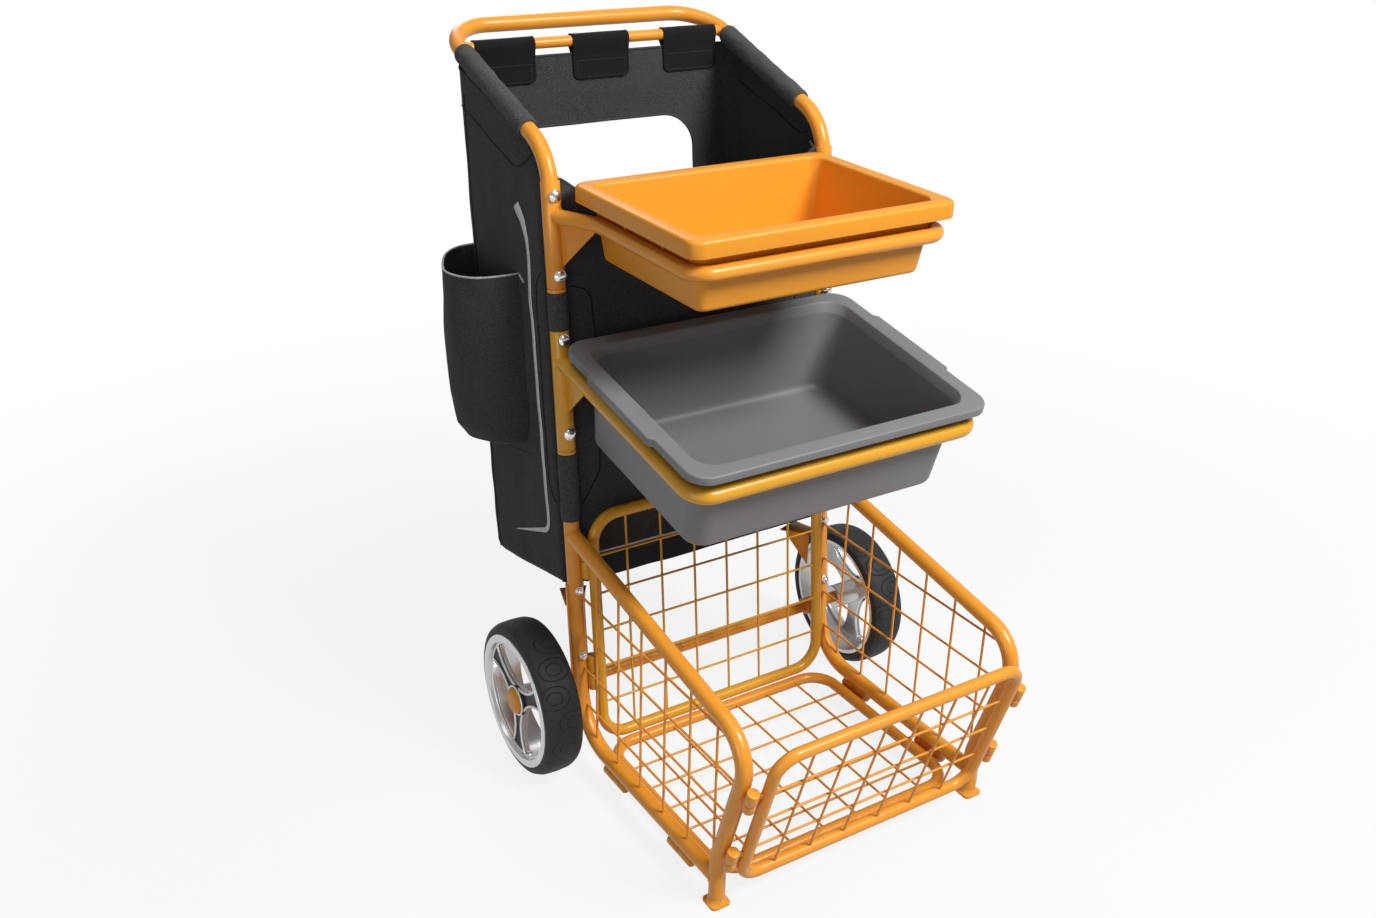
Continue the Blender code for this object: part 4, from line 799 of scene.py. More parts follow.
def woven_cloth(name, colour, pitch, slub_and_shine=0.25, sheen=0.05, slant=False):
    """Woven bag cloth: threads, uneven yarn with a painted shine, soft creases and a dry bloom."""
    finish = Finish(name, 0.88, sheen=sheen, specular=0.16)
    u, v = finish.cloth_places()
    if slant:
        u, v = u + v, u - v
    warp = (u * (FULL_TURN / pitch)).sine()
    weft = (v * (FULL_TURN / pitch)).sine()
    weave = (warp * weft) * 0.5 + 0.5
    yarn = finish.noise(700.0, 2.0, stretch=(1.0, 1.0, 0.12))
    cloud = finish.noise(7.0, 4.0)
    fleck = finish.noise(620.0, 2.0).within(0.46, 0.66)
    base = finish.colours(weave, shade(colour, 0.60), shade(colour, 1.02))
    # Lighter streaks along the yarn: uneven yarn, and a painted shine on the threads.
    base = finish.colours(yarn.within(0.5, 0.8) * slub_and_shine, base, shade(colour, 1.9))
    base = finish.colours(fleck * 0.75, base, shade(colour, 2.0))
    base = finish.colours(cloud.within(0.35, 0.75) * 0.35, base, shade(colour, 1.35))
    crease = finish.bump(finish.noise(26.0, 4.0), 0.0022)
    threads = finish.bump(weave, 0.00025, crease)
    return finish.set(base_color=base, roughness=0.80 + yarn * 0.15, normal=threads)


def open_mesh(name, colour, pitch):
    """Open mesh cloth: small round holes in rows, with painted shade in them."""
    finish = Finish(name, 0.85, sheen=0.04, specular=0.16)
    u, v = finish.cloth_places()
    near_u = ((u / pitch).fraction() - 0.5) * 2.0
    near_v = ((v / pitch).fraction() - 0.5) * 2.0
    hole = 1.0 - (near_u * near_u + near_v * near_v).root().within(0.55, 0.75)
    cloud = finish.noise(40.0)
    base = finish.colours(cloud, shade(colour, 0.85), shade(colour, 1.2))
    # The holes are painted near black: painted shade, as the strip is not cut through.
    base = finish.colours(hole, base, shade(colour, 0.18))
    return finish.set(base_color=base, roughness=0.7 + cloud * 0.2, normal=finish.bump(1.0 - hole, 0.0004))


def stage_floor(name):
    """A pale floor that the camera sees as near white and that keeps the shadow."""
    finish = Finish(name, 0.9)
    cloud = finish.noise(0.8)
    path = finish.node("ShaderNodeLightPath")
    lit = finish.colours(cloud, (0.68, 0.68, 0.68, 1.0), (0.70, 0.70, 0.70, 1.0))
    lit = finish.colours(path.outputs["Is Camera Ray"], (0.30, 0.30, 0.30, 1.0), lit)
    finish.set(base_color=lit)
    glow = finish.node("ShaderNodeEmission", None, {"Color": (1, 1, 1, 1), "Strength": 1.0})
    away = finish.node("ShaderNodeVectorMath", {"operation": "LENGTH"}, {0: finish.object_place})
    fade = Value(finish, away.outputs["Value"]).within(0.7, 2.4) * 0.15 + 0.85
    seen = Value(finish, path.outputs["Is Camera Ray"]) * fade
    seen = seen.most(Value(finish, path.outputs["Is Glossy Ray"]) * 0.75)
    mix = finish.node("ShaderNodeMixShader", None, {0: seen, 1: finish.shader, 2: glow})
    out = finish.tree.nodes["Material Output"]
    finish.feed(out.inputs["Surface"], mix)
    return finish.material


def new_tree(name, inputs):
    """A geometry node tree with named inputs, given as (name, kind, default)."""
    tree = bpy.data.node_groups.new(name, "GeometryNodeTree")
    tree.is_modifier = True
    face = tree.interface
    face.new_socket(name="Geometry", in_out="INPUT", socket_type="NodeSocketGeometry")
    face.new_socket(name="Geometry", in_out="OUTPUT", socket_type="NodeSocketGeometry")
    for title, kind, default in inputs:
        socket = face.new_socket(name=title, in_out="INPUT", socket_type="NodeSocket" + kind)
        if default is not None:
            socket.default_value = default
    book = NodeBook(tree)
    return book, book.node("NodeGroupInput"), book.node("NodeGroupOutput")


def end_tree(book, start, end, geometry):
    """Close a tree: real geometry, then its finish."""
    real = book.node("GeometryNodeRealizeInstances", None, {0: geometry})
    done = book.node("GeometryNodeSetMaterial", None, {0: real, "Material": start.outputs["Finish"]})
    book.feed(end.inputs[0], done)
    return book.tree


def tube_tree():
    """Round tube along every line of a mesh of edges."""
    inputs = (("Radius", "Float", 0.0125), ("Sides", "Int", 24), ("Finish", "Material", None))
    book, start, end = new_tree("tube_along_lines", inputs)
    curve = book.node("GeometryNodeMeshToCurve", None, {0: start.outputs[0]})
    values = {"Resolution": start.outputs["Sides"], "Radius": start.outputs["Radius"]}
    ring = book.node("GeometryNodeCurvePrimitiveCircle", {"mode": "RADIUS"}, values)
    values = {"Curve": curve, "Profile Curve": ring.outputs["Curve"], "Fill Caps": True}
    tube = book.node("GeometryNodeCurveToMesh", None, values)
    return end_tree(book, start, end, tube)


def stitch_tree():
    """Short threads at even steps along every line."""
    inputs = (("Step", "Float", 0.004), ("Thread", "Float", 0.0004), ("Length", "Float", 0.0026))
    inputs += (("Finish", "Material", None),)
    book, start, end = new_tree("stitches_along_lines", inputs)
    curve = book.node("GeometryNodeMeshToCurve", None, {0: start.outputs[0]})
    values = {"Curve": curve, "Length": start.outputs["Step"]}
    even = book.node("GeometryNodeResampleCurve", {"mode": "LENGTH"}, values)
    tangent = book.node("GeometryNodeInputTangent")
    turn = book.node("FunctionNodeAlignRotationToVector", {"axis": "Z"}, {"Vector": tangent})
    ball = book.node("GeometryNodeMeshIcoSphere", None, {"Radius": 1.0, "Subdivisions": 1})
    thread, length = start.outputs["Thread"], start.outputs["Length"]
    half = book.node("ShaderNodeMath", {"operation": "MULTIPLY"}, {0: length, 1: 0.5})
    size = book.node("ShaderNodeCombineXYZ", None, {0: thread, 1: thread, 2: half})
    values = {"Points": even, "Instance": ball.outputs["Mesh"], "Rotation": turn, "Scale": size}
    rows = book.node("GeometryNodeInstanceOnPoints", None, values)
    return end_tree(book, start, end, rows)


def scatter_tree():
    """A copy of one piece on every point, along the point's own direction, each spun by chance."""
    inputs = (("Piece", "Object", None), ("Seed", "Int", 3), ("Finish", "Material", None))
    book, start, end = new_tree("pieces_on_points", inputs)
    named = {"data_type": "FLOAT_VECTOR"}
    along = book.node("GeometryNodeInputNamedAttribute", named, {"Name": "along"})
    turn = book.node("FunctionNodeAlignRotationToVector", {"axis": "Z"}, {"Vector": along})
    info = book.node("GeometryNodeObjectInfo", None, {"Object": start.outputs["Piece"]})
    values = {"Points": start.outputs[0], "Instance": info.outputs["Geometry"], "Rotation": turn}
    rows = book.node("GeometryNodeInstanceOnPoints", None, values)
    values = {3: FULL_TURN, "Seed": start.outputs["Seed"]}
    chance = book.node("FunctionNodeRandomValue", {"data_type": "FLOAT"}, values)
    spin = book.node("ShaderNodeCombineXYZ", None, {2: chance.outputs[1]})
    values = {"Instances": rows, "Rotation": spin, "Local Space": True}
    spun = book.node("GeometryNodeRotateInstances", None, values)
    return end_tree(book, start, end, spun)


def grown(tree, mesh, values):
    """Run a tree on a mesh and give back the plain mesh that it makes."""
    obj = linked("helper", mesh)
    modifier = obj.modifiers.new("Grow", "NODES")
    modifier.node_group = bpy.data.node_groups[tree]
    for item in modifier.node_group.interface.items_tree:
        if item.item_type == "SOCKET" and item.in_out == "INPUT" and item.name in values:
            modifier[item.identifier] = values[item.name]
    return plain(obj)


def tubes(lines, radius, sides, look):
    """Round tubes along (points, closed) lines."""
    values = {"Radius": radius, "Sides": sides, "Finish": finish(look)}
    return grown("tube_along_lines", line_mesh(lines), values)


def stitches(lines, step):
    """Rows of stitches along (points, closed) lines."""
    values = {"Step": step, "Length": STITCH_LENGTH, "Thread": THREAD_R, "Finish": finish("thread")}
    return grown("stitches_along_lines", line_mesh(lines), values)


def scattered(piece, places, look, seed):
    """Copies of a piece's mesh on (point, direction) places."""
    mesh = bpy.data.meshes.new("places")
    mesh.from_pydata([tuple(point) for point, direction in places], [], [])
    along = mesh.attributes.new("along", "FLOAT_VECTOR", "POINT")
    for item, (point, direction) in zip(along.data, places):
        item.vector = direction
    original = linked("helper", piece)
    result = grown("pieces_on_points", mesh, {"Piece": original, "Seed": seed, "Finish": finish(look)})
    bpy.data.objects.remove(original, do_unlink=True)
    return result

def count_setting(name, text, default, low, high):
    """A whole number that a user may change."""
    return bpy.props.IntProperty(name=name, description=text, default=default, min=low, max=high)


def length_setting(name, text, default):
    """A length in metres that a user may change."""
    return bpy.props.FloatProperty(name=name, description=text, default=default, unit="LENGTH")


def colour_setting(name, text, default):
    """A colour that a user may change."""
    return bpy.props.FloatVectorProperty(name=name, description=text, default=default,
                                         subtype="COLOR", min=0, max=1)


class TrolleySizes(bpy.types.PropertyGroup):
    """Sizes of the dressing that a user may change."""

    tube_sides: count_setting("Tube sides", "Faces round a main tube", 28, 12, 64)
    wire_sides: count_setting("Wire sides", "Faces round a basket wire", 10, 6, 24)
    weld_size: length_setting("Weld bead", "Radius of a weld bead", 0.0018)
    edge_round: length_setting("Plate edge", "Rounding of plate edges", 0.0006)
    bag_belly: length_setting("Bag belly", "How far the bag's walls swell", 0.006)
    bag_ripple: length_setting("Bag ripple", "Height of the soft ripples in the cloth", 0.0055)
    bottom_sag: length_setting("Bottom sag", "How far the bag's bottom sags", 0.006)
    hem: length_setting("Hem", "Radius of the bag's bound edges", 0.0022)
    stitch_step: length_setting("Stitch step", "Distance from stitch to stitch", 0.0042)
    tread_blocks: count_setting("Tread blocks", "Tread blocks round a tyre, in threes", 18, 6, 60)


class TrolleyColours(bpy.types.PropertyGroup):
    """Colours of the trolley's finishes."""

    orange: colour_setting("Orange paint", "Powder coat of the frame", (0.86, 0.335, 0.030))
    ochre: colour_setting("Ochre paint", "Powder coat of the lower bracket and back panel",
                          (0.76, 0.370, 0.022))
    tray: colour_setting("Orange plastic", "Top tray and hub caps", (0.81, 0.315, 0.022))
    tub: colour_setting("Grey plastic", "Lower tub", (0.205, 0.206, 0.209))
    wheel: colour_setting("Silver plastic", "Wheel rims", (0.72, 0.72, 0.72))
    rubber: colour_setting("Rubber", "Tyres", (0.022, 0.022, 0.022))
    bag: colour_setting("Bag cloth", "Walls of the bag", (0.044, 0.044, 0.044))
    sleeve: colour_setting("Sleeve cloth", "Sleeves on the tubes", (0.056, 0.056, 0.056))
    strap: colour_setting("Strap webbing", "Straps over the cross bar", (0.006, 0.006, 0.006))


def finish(kind):
    """The finish of that kind, made the first time it is asked for."""
    name = "trolley_" + kind
    made = bpy.data.materials.get(name)
    if made:
        return made
    colours = bpy.context.scene.trolley_colours
    makers = {
        "orange_paint": lambda: powder_coat(name, colours.orange),
        "ochre_paint": lambda: powder_coat(name, colours.ochre),
        "orange_plastic": lambda: moulded_plastic(name, colours.tray, 0.36),
        "grey_plastic": lambda: moulded_plastic(name, colours.tub, 0.42, 0.00005),
        "dark_plastic": lambda: moulded_plastic(name, (0.035, 0.035, 0.036), 0.48, 0.00006),
        "silver_plastic": lambda: silver_paint(name, colours.wheel),
        "bright_steel": lambda: plated_steel(name, (0.88, 0.88, 0.87)),
        "tyre": lambda: tyre_rubber(name, colours.rubber),
        "charcoal_fabric": lambda: woven_cloth(name, colours.bag, 0.0016),
        "sleeve_fabric": lambda: woven_cloth(name, colours.sleeve, 0.0013, slub_and_shine=0.3, sheen=0.08),
        "black_fabric": lambda: woven_cloth(name, colours.strap, 0.0022, slub_and_shine=0.15, slant=True),
        "bag_mesh": lambda: open_mesh(name, (0.030, 0.030, 0.031), 0.0034),
        "grey_stripe": lambda: woven_cloth(name, (0.80, 0.80, 0.80), 0.0011, slub_and_shine=0.1),
        "pale_binding": lambda: woven_cloth(name, (0.45, 0.45, 0.45), 0.0010, slub_and_shine=0.1),
        "thread": lambda: woven_cloth(name, (0.060, 0.060, 0.060), 0.0006),
        "studio_floor": lambda: stage_floor(name),
    }
    return makers[kind]()


def aim(point, direction):
    """The matrix that takes Z to a direction at a point."""
    turn = Vector(direction).to_track_quat("Z", "Y").to_matrix().to_4x4()
    return Matrix.Translation(point) @ turn


def barrel(shape, start, along, length):
    """One half of a hinge barrel, with rounded ends."""
    soft = BARREL_SOFT
    near, edge = BARREL_R - soft, BARREL_R - soft * 0.3
    profile = [(0.0, 0.0), (near, 0.0), (edge, soft * 0.3), (BARREL_R, soft), (BARREL_R, length - soft),
               (edge, length - soft * 0.3), (near, length), (0.0, length)]
    shape.turned(profile, 28, aim(start, along))


def barrel_pair(shape, start, along):
    """Two barrel halves with a fine seam between them."""
    along = Vector(along).normalized()
    for begin in (0.0, BARREL_HALF + BARREL_SEAM):
        barrel(shape, start + along * begin, along, BARREL_HALF - BARREL_SEAM)


def wire_grid(uprights, rungs, lift, sizes, look):
    """Two crossing layers of wires, one each side of the panel's plane."""
    shift = Vector(lift).normalized() * (WIRE_R - WIRE_BITE)
    lines = []
    for wires, way in ((uprights, shift), (rungs, -shift)):
        lines += [([Vector(a) + way, Vector(b) + way], False) for a, b in wires]
    return tubes(lines, WIRE_R, sizes.wire_sides, look)


def build_tubes(sizes):
    """Handle hoop, cross bar, uprights, legs, axle tube and their weld beads."""
    bar_y = slant_y(BAR_Z)
    bar = [(end, bar_y, BAR_Z) for end in (-BAR_END_X, BAR_END_X)]
    axle = [(end, AXLE_Y, TYRE_R) for end in (-AXLE_TUBE_END_X, AXLE_TUBE_END_X)]
    runs = [("handle_tube", hoop_line(), TUBE_R, "handle_hoop"), ("bag_bar", bar, BAR_R, "cross_bar"),
            ("axle_sleeve", axle, AXLE_TUBE_R, "axle_tube")]
    welds = []
    for name, side in SIDES:
        runs.append((name + "_upright_tube", upright_line(side), TUBE_R, name + "_upright"))
        runs.append((name + "_leg_tube", leg_line(side), TUBE_R, name + "_front_leg"))
        x = side * SIDE_X
        seams = ((lean_point(x, 0, TOP_RAIL_BACK_Z), (0, -1, -TOP_RAIL_SLOPE), TUBE_R, LEAN_AXIS),
                 (Vector((x, LEG_FOOT_Y, BOTTOM_RAIL_Z)), (0, 1, 0), TUBE_R, UP),
                 (Vector((x, bar_y, BAR_Z)), (-side, 0, 0), BAR_R, SLANT_AXIS))
        for point, along, radius, other in seams:
            welds.append((seam_round(point, Vector(along), radius, other, TUBE_R), True))
    for name, line, radius, node in runs:
        sides = sizes.tube_sides if radius == TUBE_R else sizes.tube_sides - 4
        settle(name, tubes([(line, False)], radius, sides, "orange_paint"), "orange_paint", node)
    settle("frame_welds", tubes(welds, sizes.weld_size, 8, "orange_paint"), "orange_paint")


def build_feet(sizes):
    """Square foot plates with a flare up to the leg."""
    half = FOOT_SIZE / 2
    outline = rounded_outline(half, half, -half, FOOT_CORNER_R, 6)
    flare = [(0.0158, FOOT_THICK - 0.0005), (0.0145, 0.0066), (0.0134, 0.0094), (0.0126, 0.0130)]
    for name, side in SIDES:
        place = Matrix.Translation((side * SIDE_X, LEG_FOOT_Y, 0))
        plate = Shape().slab([(x, y, 0) for x, y in outline], (0, 0, FOOT_THICK), place)
        cone = Shape().turned(flare, sizes.tube_sides, place)
        mesh = merged(eased(plate.mesh(), 0.0009), cone.mesh())
        settle(name + "_foot", mesh, "orange_paint", name + "_foot_plate")


def build_panel(name, place, ends, corner_r, rungs, lift, sizes, look, parts, body="frame"):
    """A panel: a rounded frame of thin tube with what is welded to it, and its crossing wires."""
    low, high = ends
    half = PANEL_HALF
    corners = [place(-half, low), place(half, low), place(half, high), place(-half, high)]
    line = bend([(corner, corner_r) for corner in corners])
    loop = tubes([(line, True)], PANEL_TUBE_R, sizes.tube_sides - 4, look)
    settle(name + "_tube", merged(loop, *parts), look, name + "_frame", body=body)
    uprights = [(place(x, low), place(x, high)) for x in PANEL_WIRE_XS]
    rungs = [(place(-half, rung), place(half, rung)) for rung in rungs]
    settle(name + "_wires", wire_grid(uprights, rungs, lift, sizes, look), look, name + "_grid", body=body)


def build_basket(sizes):
    """The basket's sides, back, floor and gate with their barrels and pins."""
    for name, side in SIDES:
        x = side * SIDE_X
        uprights, rungs = [], []
        for y in SIDE_WIRE_YS:
            foot = max(BOTTOM_RAIL_Z, LEG_KNEE_Z + (LEG_FOOT_Y - y) / LEG_SLOPE)
            uprights.append(((x, y, foot), (x, y, top_rail_z(y))))
        for z in SIDE_RUNG_ZS:
            back, front = depth_at(upright_line(side), z), depth_at(leg_line(side), z)
            rungs.append(((x, back, z), (x, front, z)))
        mesh = wire_grid(uprights, rungs, (side, 0, 0), sizes, "orange_paint")
        settle(name + "_side_wires", mesh, "orange_paint", name + "_side_grid")

    def back_place(x, z):
        return lean_point(x, -BACK_PANEL_AHEAD, z)

    def floor_place(x, y):
        return Vector((x, y, FLOOR_Z))

    hinges = Shape()
    reach = TUBE_R + BARREL_R - BARREL_BITE
    barrel_x = SIDE_X - math.sqrt(reach ** 2 - BACK_BARREL_AHEAD ** 2)
    for side in (-1, 1):
        for z in BACK_BARREL_LOW_Z:
            barrel_pair(hinges, lean_point(side * barrel_x, -BACK_BARREL_AHEAD, z), LEAN_AXIS)
    low, top = BACK_PANEL_Z
    rungs = [low + (top - low) * (index + 1) / 6 for index in range(5)]
    build_panel("back_panel", back_place, BACK_PANEL_Z, PANEL_CORNER_R, rungs, LEAN_BACK, sizes,
                "ochre_paint", [hinges.mesh()])

    hinges, tabs = Shape(), Shape()
    for side in (-1, 1):
        for start in FLOOR_BARREL_BACK_Y:
            barrel_pair(hinges, Vector((side * SIDE_X, start, FLOOR_Z)), (0, -1, 0))
            tabs.block([side * x for x in TAB_X], (start - 2 * BARREL_HALF + 0.006, start - 0.006),
                       (FLOOR_Z - TAB_HALF, FLOOR_Z + TAB_HALF))
    build_panel("floor_panel", floor_place, FLOOR_Y, PANEL_CORNER_R, FLOOR_RUNG_YS, (0, 0, 1), sizes,
                "orange_paint", [hinges.mesh(), eased(tabs.mesh(), 0.0006)])
    build_gate(sizes)


def build_gate(sizes):
    """The gate with its sleeves, and the pins on the legs that carry them."""
    sleeves, tabs = Shape(), Shape()
    thick, wide = GATE_OUT * TAB_HALF, ACROSS * TAB_HALF
    inward = GATE_OUT * -(BARREL_AHEAD - TUBE_R / 2)
    for name, side in SIDES:
        for level, z in zip(("lower", "upper"), GATE_BARREL_LOW_Z):
            foot = Vector((side * SIDE_X, gate_y(z, BARREL_AHEAD), z))
            seam = foot + GATE_AXIS * GATE_SEAM_UP
            barrel(sleeves, seam + GATE_AXIS * 0.0006, GATE_AXIS, SLEEVE_LENGTH)
            inner, outer = (Vector((side * x, seam.y, seam.z)) for x in TAB_X)
            inner += GATE_OUT * (GATE_AHEAD - BARREL_AHEAD) + GATE_AXIS * TAB_UP
            outer += GATE_AXIS * TAB_UP
            tabs.slab([inner - thick, inner + thick, outer + thick, outer - thick],
                      GATE_AXIS * (SLEEVE_LENGTH - 0.012))
            pin = Shape()
            barrel(pin, seam - GATE_AXIS * PIN_LENGTH, GATE_AXIS, PIN_LENGTH - PLAY)
            base = seam - GATE_AXIS * (PIN_LENGTH - 0.002)
            web = Shape().slab([base - wide, base + wide, base + inward + wide, base + inward - wide],
                               GATE_AXIS * (PIN_LENGTH - 0.004))
            shank = [(0.004, -0.002), (0.004, 0.020), (0.003, 0.022), (0.0, 0.022)]
            shank = Shape().turned(shank, 16, aim(seam, GATE_AXIS))
            mesh = merged(pin.mesh(), eased(web.mesh(), 0.0005), shank.mesh())
            settle(f"{name}_{level}_gate_pin", mesh, "orange_paint", f"{name}_gate_pin_{level}")

    def gate_place(x, z):
        return Vector((x, gate_y(z), z))

    build_panel("gate", gate_place, GATE_Z, GATE_CORNER_R, GATE_RUNG_ZS, GATE_OUT, sizes,
                "orange_paint", [sleeves.mesh(), eased(tabs.mesh(), 0.0006)], "gate")


def half_shell(side, heights, wall, wrap, front=True):
    """A curved plate round one side of an upright, wrapped by an angle each way."""
    low, high = (lean_point(side * SIDE_X, 0, z) for z in heights)
    way = -LEAN_BACK if front else LEAN_BACK
    arc = []
    for step in range(29):
        angle = math.radians(wrap) * (step / 14 - 1)
        arc.append(way * math.cos(angle) + ACROSS * math.sin(angle))
    outline = [low + out * (TUBE_R + PLAY + wall) for out in arc]
    outline += [low + out * (TUBE_R + PLAY) for out in reversed(arc)]
    return eased(Shape().slab(outline, high - low).mesh(), 0.0005, 50)


def build_bracket(name, place, ring, clamp_z, sizes, look, node):
    """A bent ring with a gusseted half-round clamp for each upright."""
    ring_x, ring_r, drop, front = ring
    low, high = clamp_z
    corners = []
    for side in (-1, 1):
        x = side * SIDE_X
        back = (place.inverted() @ lean_point(x, 0, sum(clamp_z) / 2)).y
        start = place @ Vector((x, back, -drop))
        start.y = lean_y(start.z) - RING_BITE
        elbow = place @ Vector((side * ring_x, back - RING_ELBOW_AHEAD, -drop))
        corner = place @ Vector((side * ring_x, front, -drop))
        elbow_r = RING_ELBOW_R if SIDE_X - ring_x > 0.001 else 0
        run = [(start, 0), (elbow, elbow_r), (corner, RING_CORNER_R)]
        corners += run if side < 0 else run[::-1]
    meshes = [tubes([(bend(corners), False)], ring_r, sizes.tube_sides, look)]
    start, elbow = corners[0][0], corners[1][0]
    top = -ring_r * 0.6
    plan = ((0, top), (GUSSET_REACH, top), (GUSSET_REACH, top - 0.007),
            (0.004, top - GUSSET_DROP), (0, top - GUSSET_DROP))
    welds = []
    for side in (-1, 1):
        x = side * SIDE_X
        meshes.append(half_shell(side, (low, low + COLLAR_HIGH), CLAMP_WALL, CLAMP_WRAP))
        meshes.append(half_shell(side, (low + COLLAR_HIGH + COLLAR_SEAM, high), CLAMP_WALL, CLAMP_WRAP))
        run = Vector((side * abs(elbow.x) - x, elbow.y - start.y, elbow.z - start.z)).normalized()
        across = run.cross(UP).normalized() * TAB_HALF
        centre = Vector((x, start.y + RING_BITE, start.z))
        root = centre + run * TUBE_R
        outline = [root + run * ahead + Vector((0, 0, down)) - across for ahead, down in plan]
        meshes.append(eased(Shape().slab(outline, across * 2).mesh(), sizes.edge_round))
        welds.append((seam_round(centre, run, ring_r, LEAN_AXIS, TUBE_R + CLAMP_WALL), True))
    meshes.append(tubes(welds, sizes.weld_size, 8, look))
    settle(name, merged(*meshes), look, node)


def build_saddles(sizes):
    """Axle brackets behind the uprights, and the corner shelves under the bag."""
    near, far = AXLE_RING_X
    wide = far - near
    ring = [(0.0102, 0.0), (0.0142, 0.0), (0.0150, 0.0008), (0.0150, wide - 0.0008), (0.0142, wide),
            (0.0102, wide)]
    plan = [(0.1970, 0.0720), (0.2290, 0.0275), (0.2480, 0.0330), (0.2560, 0.0350), (0.2400, 0.0860)]
    first, last = Vector((*plan[0], 0)), Vector((*plan[1], 0))
    along = (last - first).normalized()
    inward = Vector((-along.y, along.x, 0)) * SHELF_THICK
    start = first + along * 0.012
    web = ((start, 0.0), (last, 0.0), (last, 0.0600), (start, 0.0065))
    for name, side in SIDES:
        saddle = half_shell(side, AXLE_BRACKET_Z, SADDLE_WALL, 90, front=False)
        place = aim(Vector((side * near, AXLE_Y, TYRE_R)), (side, 0, 0))
        collar = Shape().turned(ring, 32, place, closed=True)
        settle(name + "_axle_saddle", merged(saddle, collar.mesh()), "orange_paint", name + "_axle_bracket")

        shelf = Shape().slab([(side * x, y, SHELF_Z) for x, y in plan], (0, 0, -SHELF_THICK))
        outline = [Vector((side * point.x, point.y, SHELF_Z - 0.001 - drop)) for point, drop in web]
        folded = Shape().slab(outline, (side * inward.x, inward.y, 0))
        mesh = merged(*[eased(plate.mesh(), sizes.edge_round) for plate in (shelf, folded)])
        settle(name + "_shelf", mesh, "orange_paint", name + "_corner_shelf")


def build_brackets(sizes):
    """Both tray brackets, the axle saddles and the corner shelves."""
    build_bracket("upper_ring", tray_frame(TRAY_Z, TRAY_TILT), UPPER_RING, UPPER_CLAMP_Z, sizes,
                  "orange_paint", "upper_tray_bracket")
    build_bracket("lower_ring", tray_frame(TUB_Z, TUB_TILT), LOWER_RING, LOWER_CLAMP_Z, sizes,
                  "ochre_paint", "lower_tray_bracket")
    build_saddles(sizes)


def bolt_head(radius):
    """A domed bolt head on its washer."""
    foot, dome = 0.0018, 0.0044
    profile = [(0.0, -0.001), (radius * 1.02, -0.001), (radius * 1.10, 0.0), (radius * 1.10, 0.0007),
               (radius * 0.97, 0.0009), (radius * 0.96, foot)]
    for step in range(1, 8):
        angle = math.pi / 2 * step / 7
        profile.append((radius * 0.96 * math.cos(angle), foot + dome * math.sin(angle)))
    return Shape().turned(profile, 28).mesh()


def hex_nut(size):
    """A hex nut with chamfered corners, its washer and the bolt's tip."""
    prism = Shape().slab([(a, b, 0.0008) for a, b in circle_points(size, 6)], (0, 0, 0.0049))
    washer = [(0.0, 0.0), (size * 1.08, 0.0), (size * 1.08, 0.0009), (0.0, 0.0009)]
    tip = [(0.0, 0.004), (0.0030, 0.004), (0.0030, 0.0072), (0.0024, 0.0078), (0.0, 0.0078)]
    rest = Shape().turned(washer, 28).turned(tip, 20)
    return merged(eased(prism.mesh(), 0.0005, 40), rest.mesh())


def build_fasteners(sizes):
    """Domed bolts through the clamps and the axle brackets, with their nuts."""
    large, small, nuts, names = [], [], [], []
    groups = (("upper_clamp", UPPER_BOLT_Z, CLAMP_WALL, -LEAN_BACK, large),
              ("lower_clamp", LOWER_BOLT_Z, CLAMP_WALL, -LEAN_BACK, large),
              ("axle_bracket", AXLE_BOLT_Z, SADDLE_WALL, LEAN_BACK, small))
    for name, side in SIDES:
        for group, heights, wall, way, heads in groups:
            for end, z in zip(("low", "high"), heights):
                centre = lean_point(side * SIDE_X, 0, z)
                heads.append((centre + way * (TUBE_R + PLAY + wall), way))
                nuts.append((centre - way * (TUBE_R + PLAY), -way))
                names.append(f"{name}_{group}_bolt_{end}")
    meshes = [scattered(bolt_head(BOLT_R), large, "bright_steel", 3),
              scattered(bolt_head(SMALL_BOLT_R), small, "bright_steel", 5)]
    settle("bolt_heads", merged(*meshes), "bright_steel", *names)
    settle("nuts", scattered(hex_nut(NUT_R), nuts, "bright_steel", 7), "bright_steel")


def with_lips(outline):
    """A tray's outline with more points where the hand lips on its sides begin and end."""
    back, front = LIP_SPAN
    stations = [back + LIP_SLOPE, back, front, front - LIP_SLOPE]
    ring = []
    for index, (x, y) in enumerate(outline):
        ring.append((x, y))
        next_x, next_y = outline[(index + 1) % len(outline)]
        if (index + 1) % (TRAY_CORNER_STEPS + 1) == 0 and abs(next_x - x) < 1e-6:
            ends = sorted((y, next_y))
            order = stations[::-1] if next_y > y else stations
            ring += [(x, clamp(station, *ends)) for station in order]
    return ring


def tray_loft(place, size, levels, lip):
    """Skin a tray from (inset, height, corner radius, bend radius) levels."""
    half_x, back, front = size
    rings = []
    for inset, height, corner in bend([(level[:3], level[3]) for level in levels], 15):
        outline = rounded_outline(half_x - inset, back - inset, front + inset, max(corner, 0.002),
                                  TRAY_CORNER_STEPS)
        ring = []
        for x, y in with_lips(outline) if lip else outline:
            inside = LIP_SPAN[1] - 0.001 <= y <= LIP_SPAN[0] + 0.001
            if lip and inside and abs(abs(x) - (half_x - inset)) < 1e-6:
                x += math.copysign(LIP_OUT * (1 - ease((inset - 0.001) / 0.009)), x)
            ring.append(place @ Vector((x, y, height)))
        rings.append(ring)
    return Shape().skin(rings).mesh()


def build_tray(name, place, size, levels, ribs, look, node, lip=False):
    """One tray, with two ribs on each side that stand on its ring."""
    xs, ys, zs = ribs
    shape = Shape()
    for side in (-1, 1):
        for y in ys:
            shape.block([side * x for x in xs], (y - RIB_HALF, y + RIB_HALF), zs, place)
    mesh = merged(tray_loft(place, size, levels, lip), eased(shape.mesh(), 0.0005))
    settle(name, mesh, look, node, body=node, sharp=50)


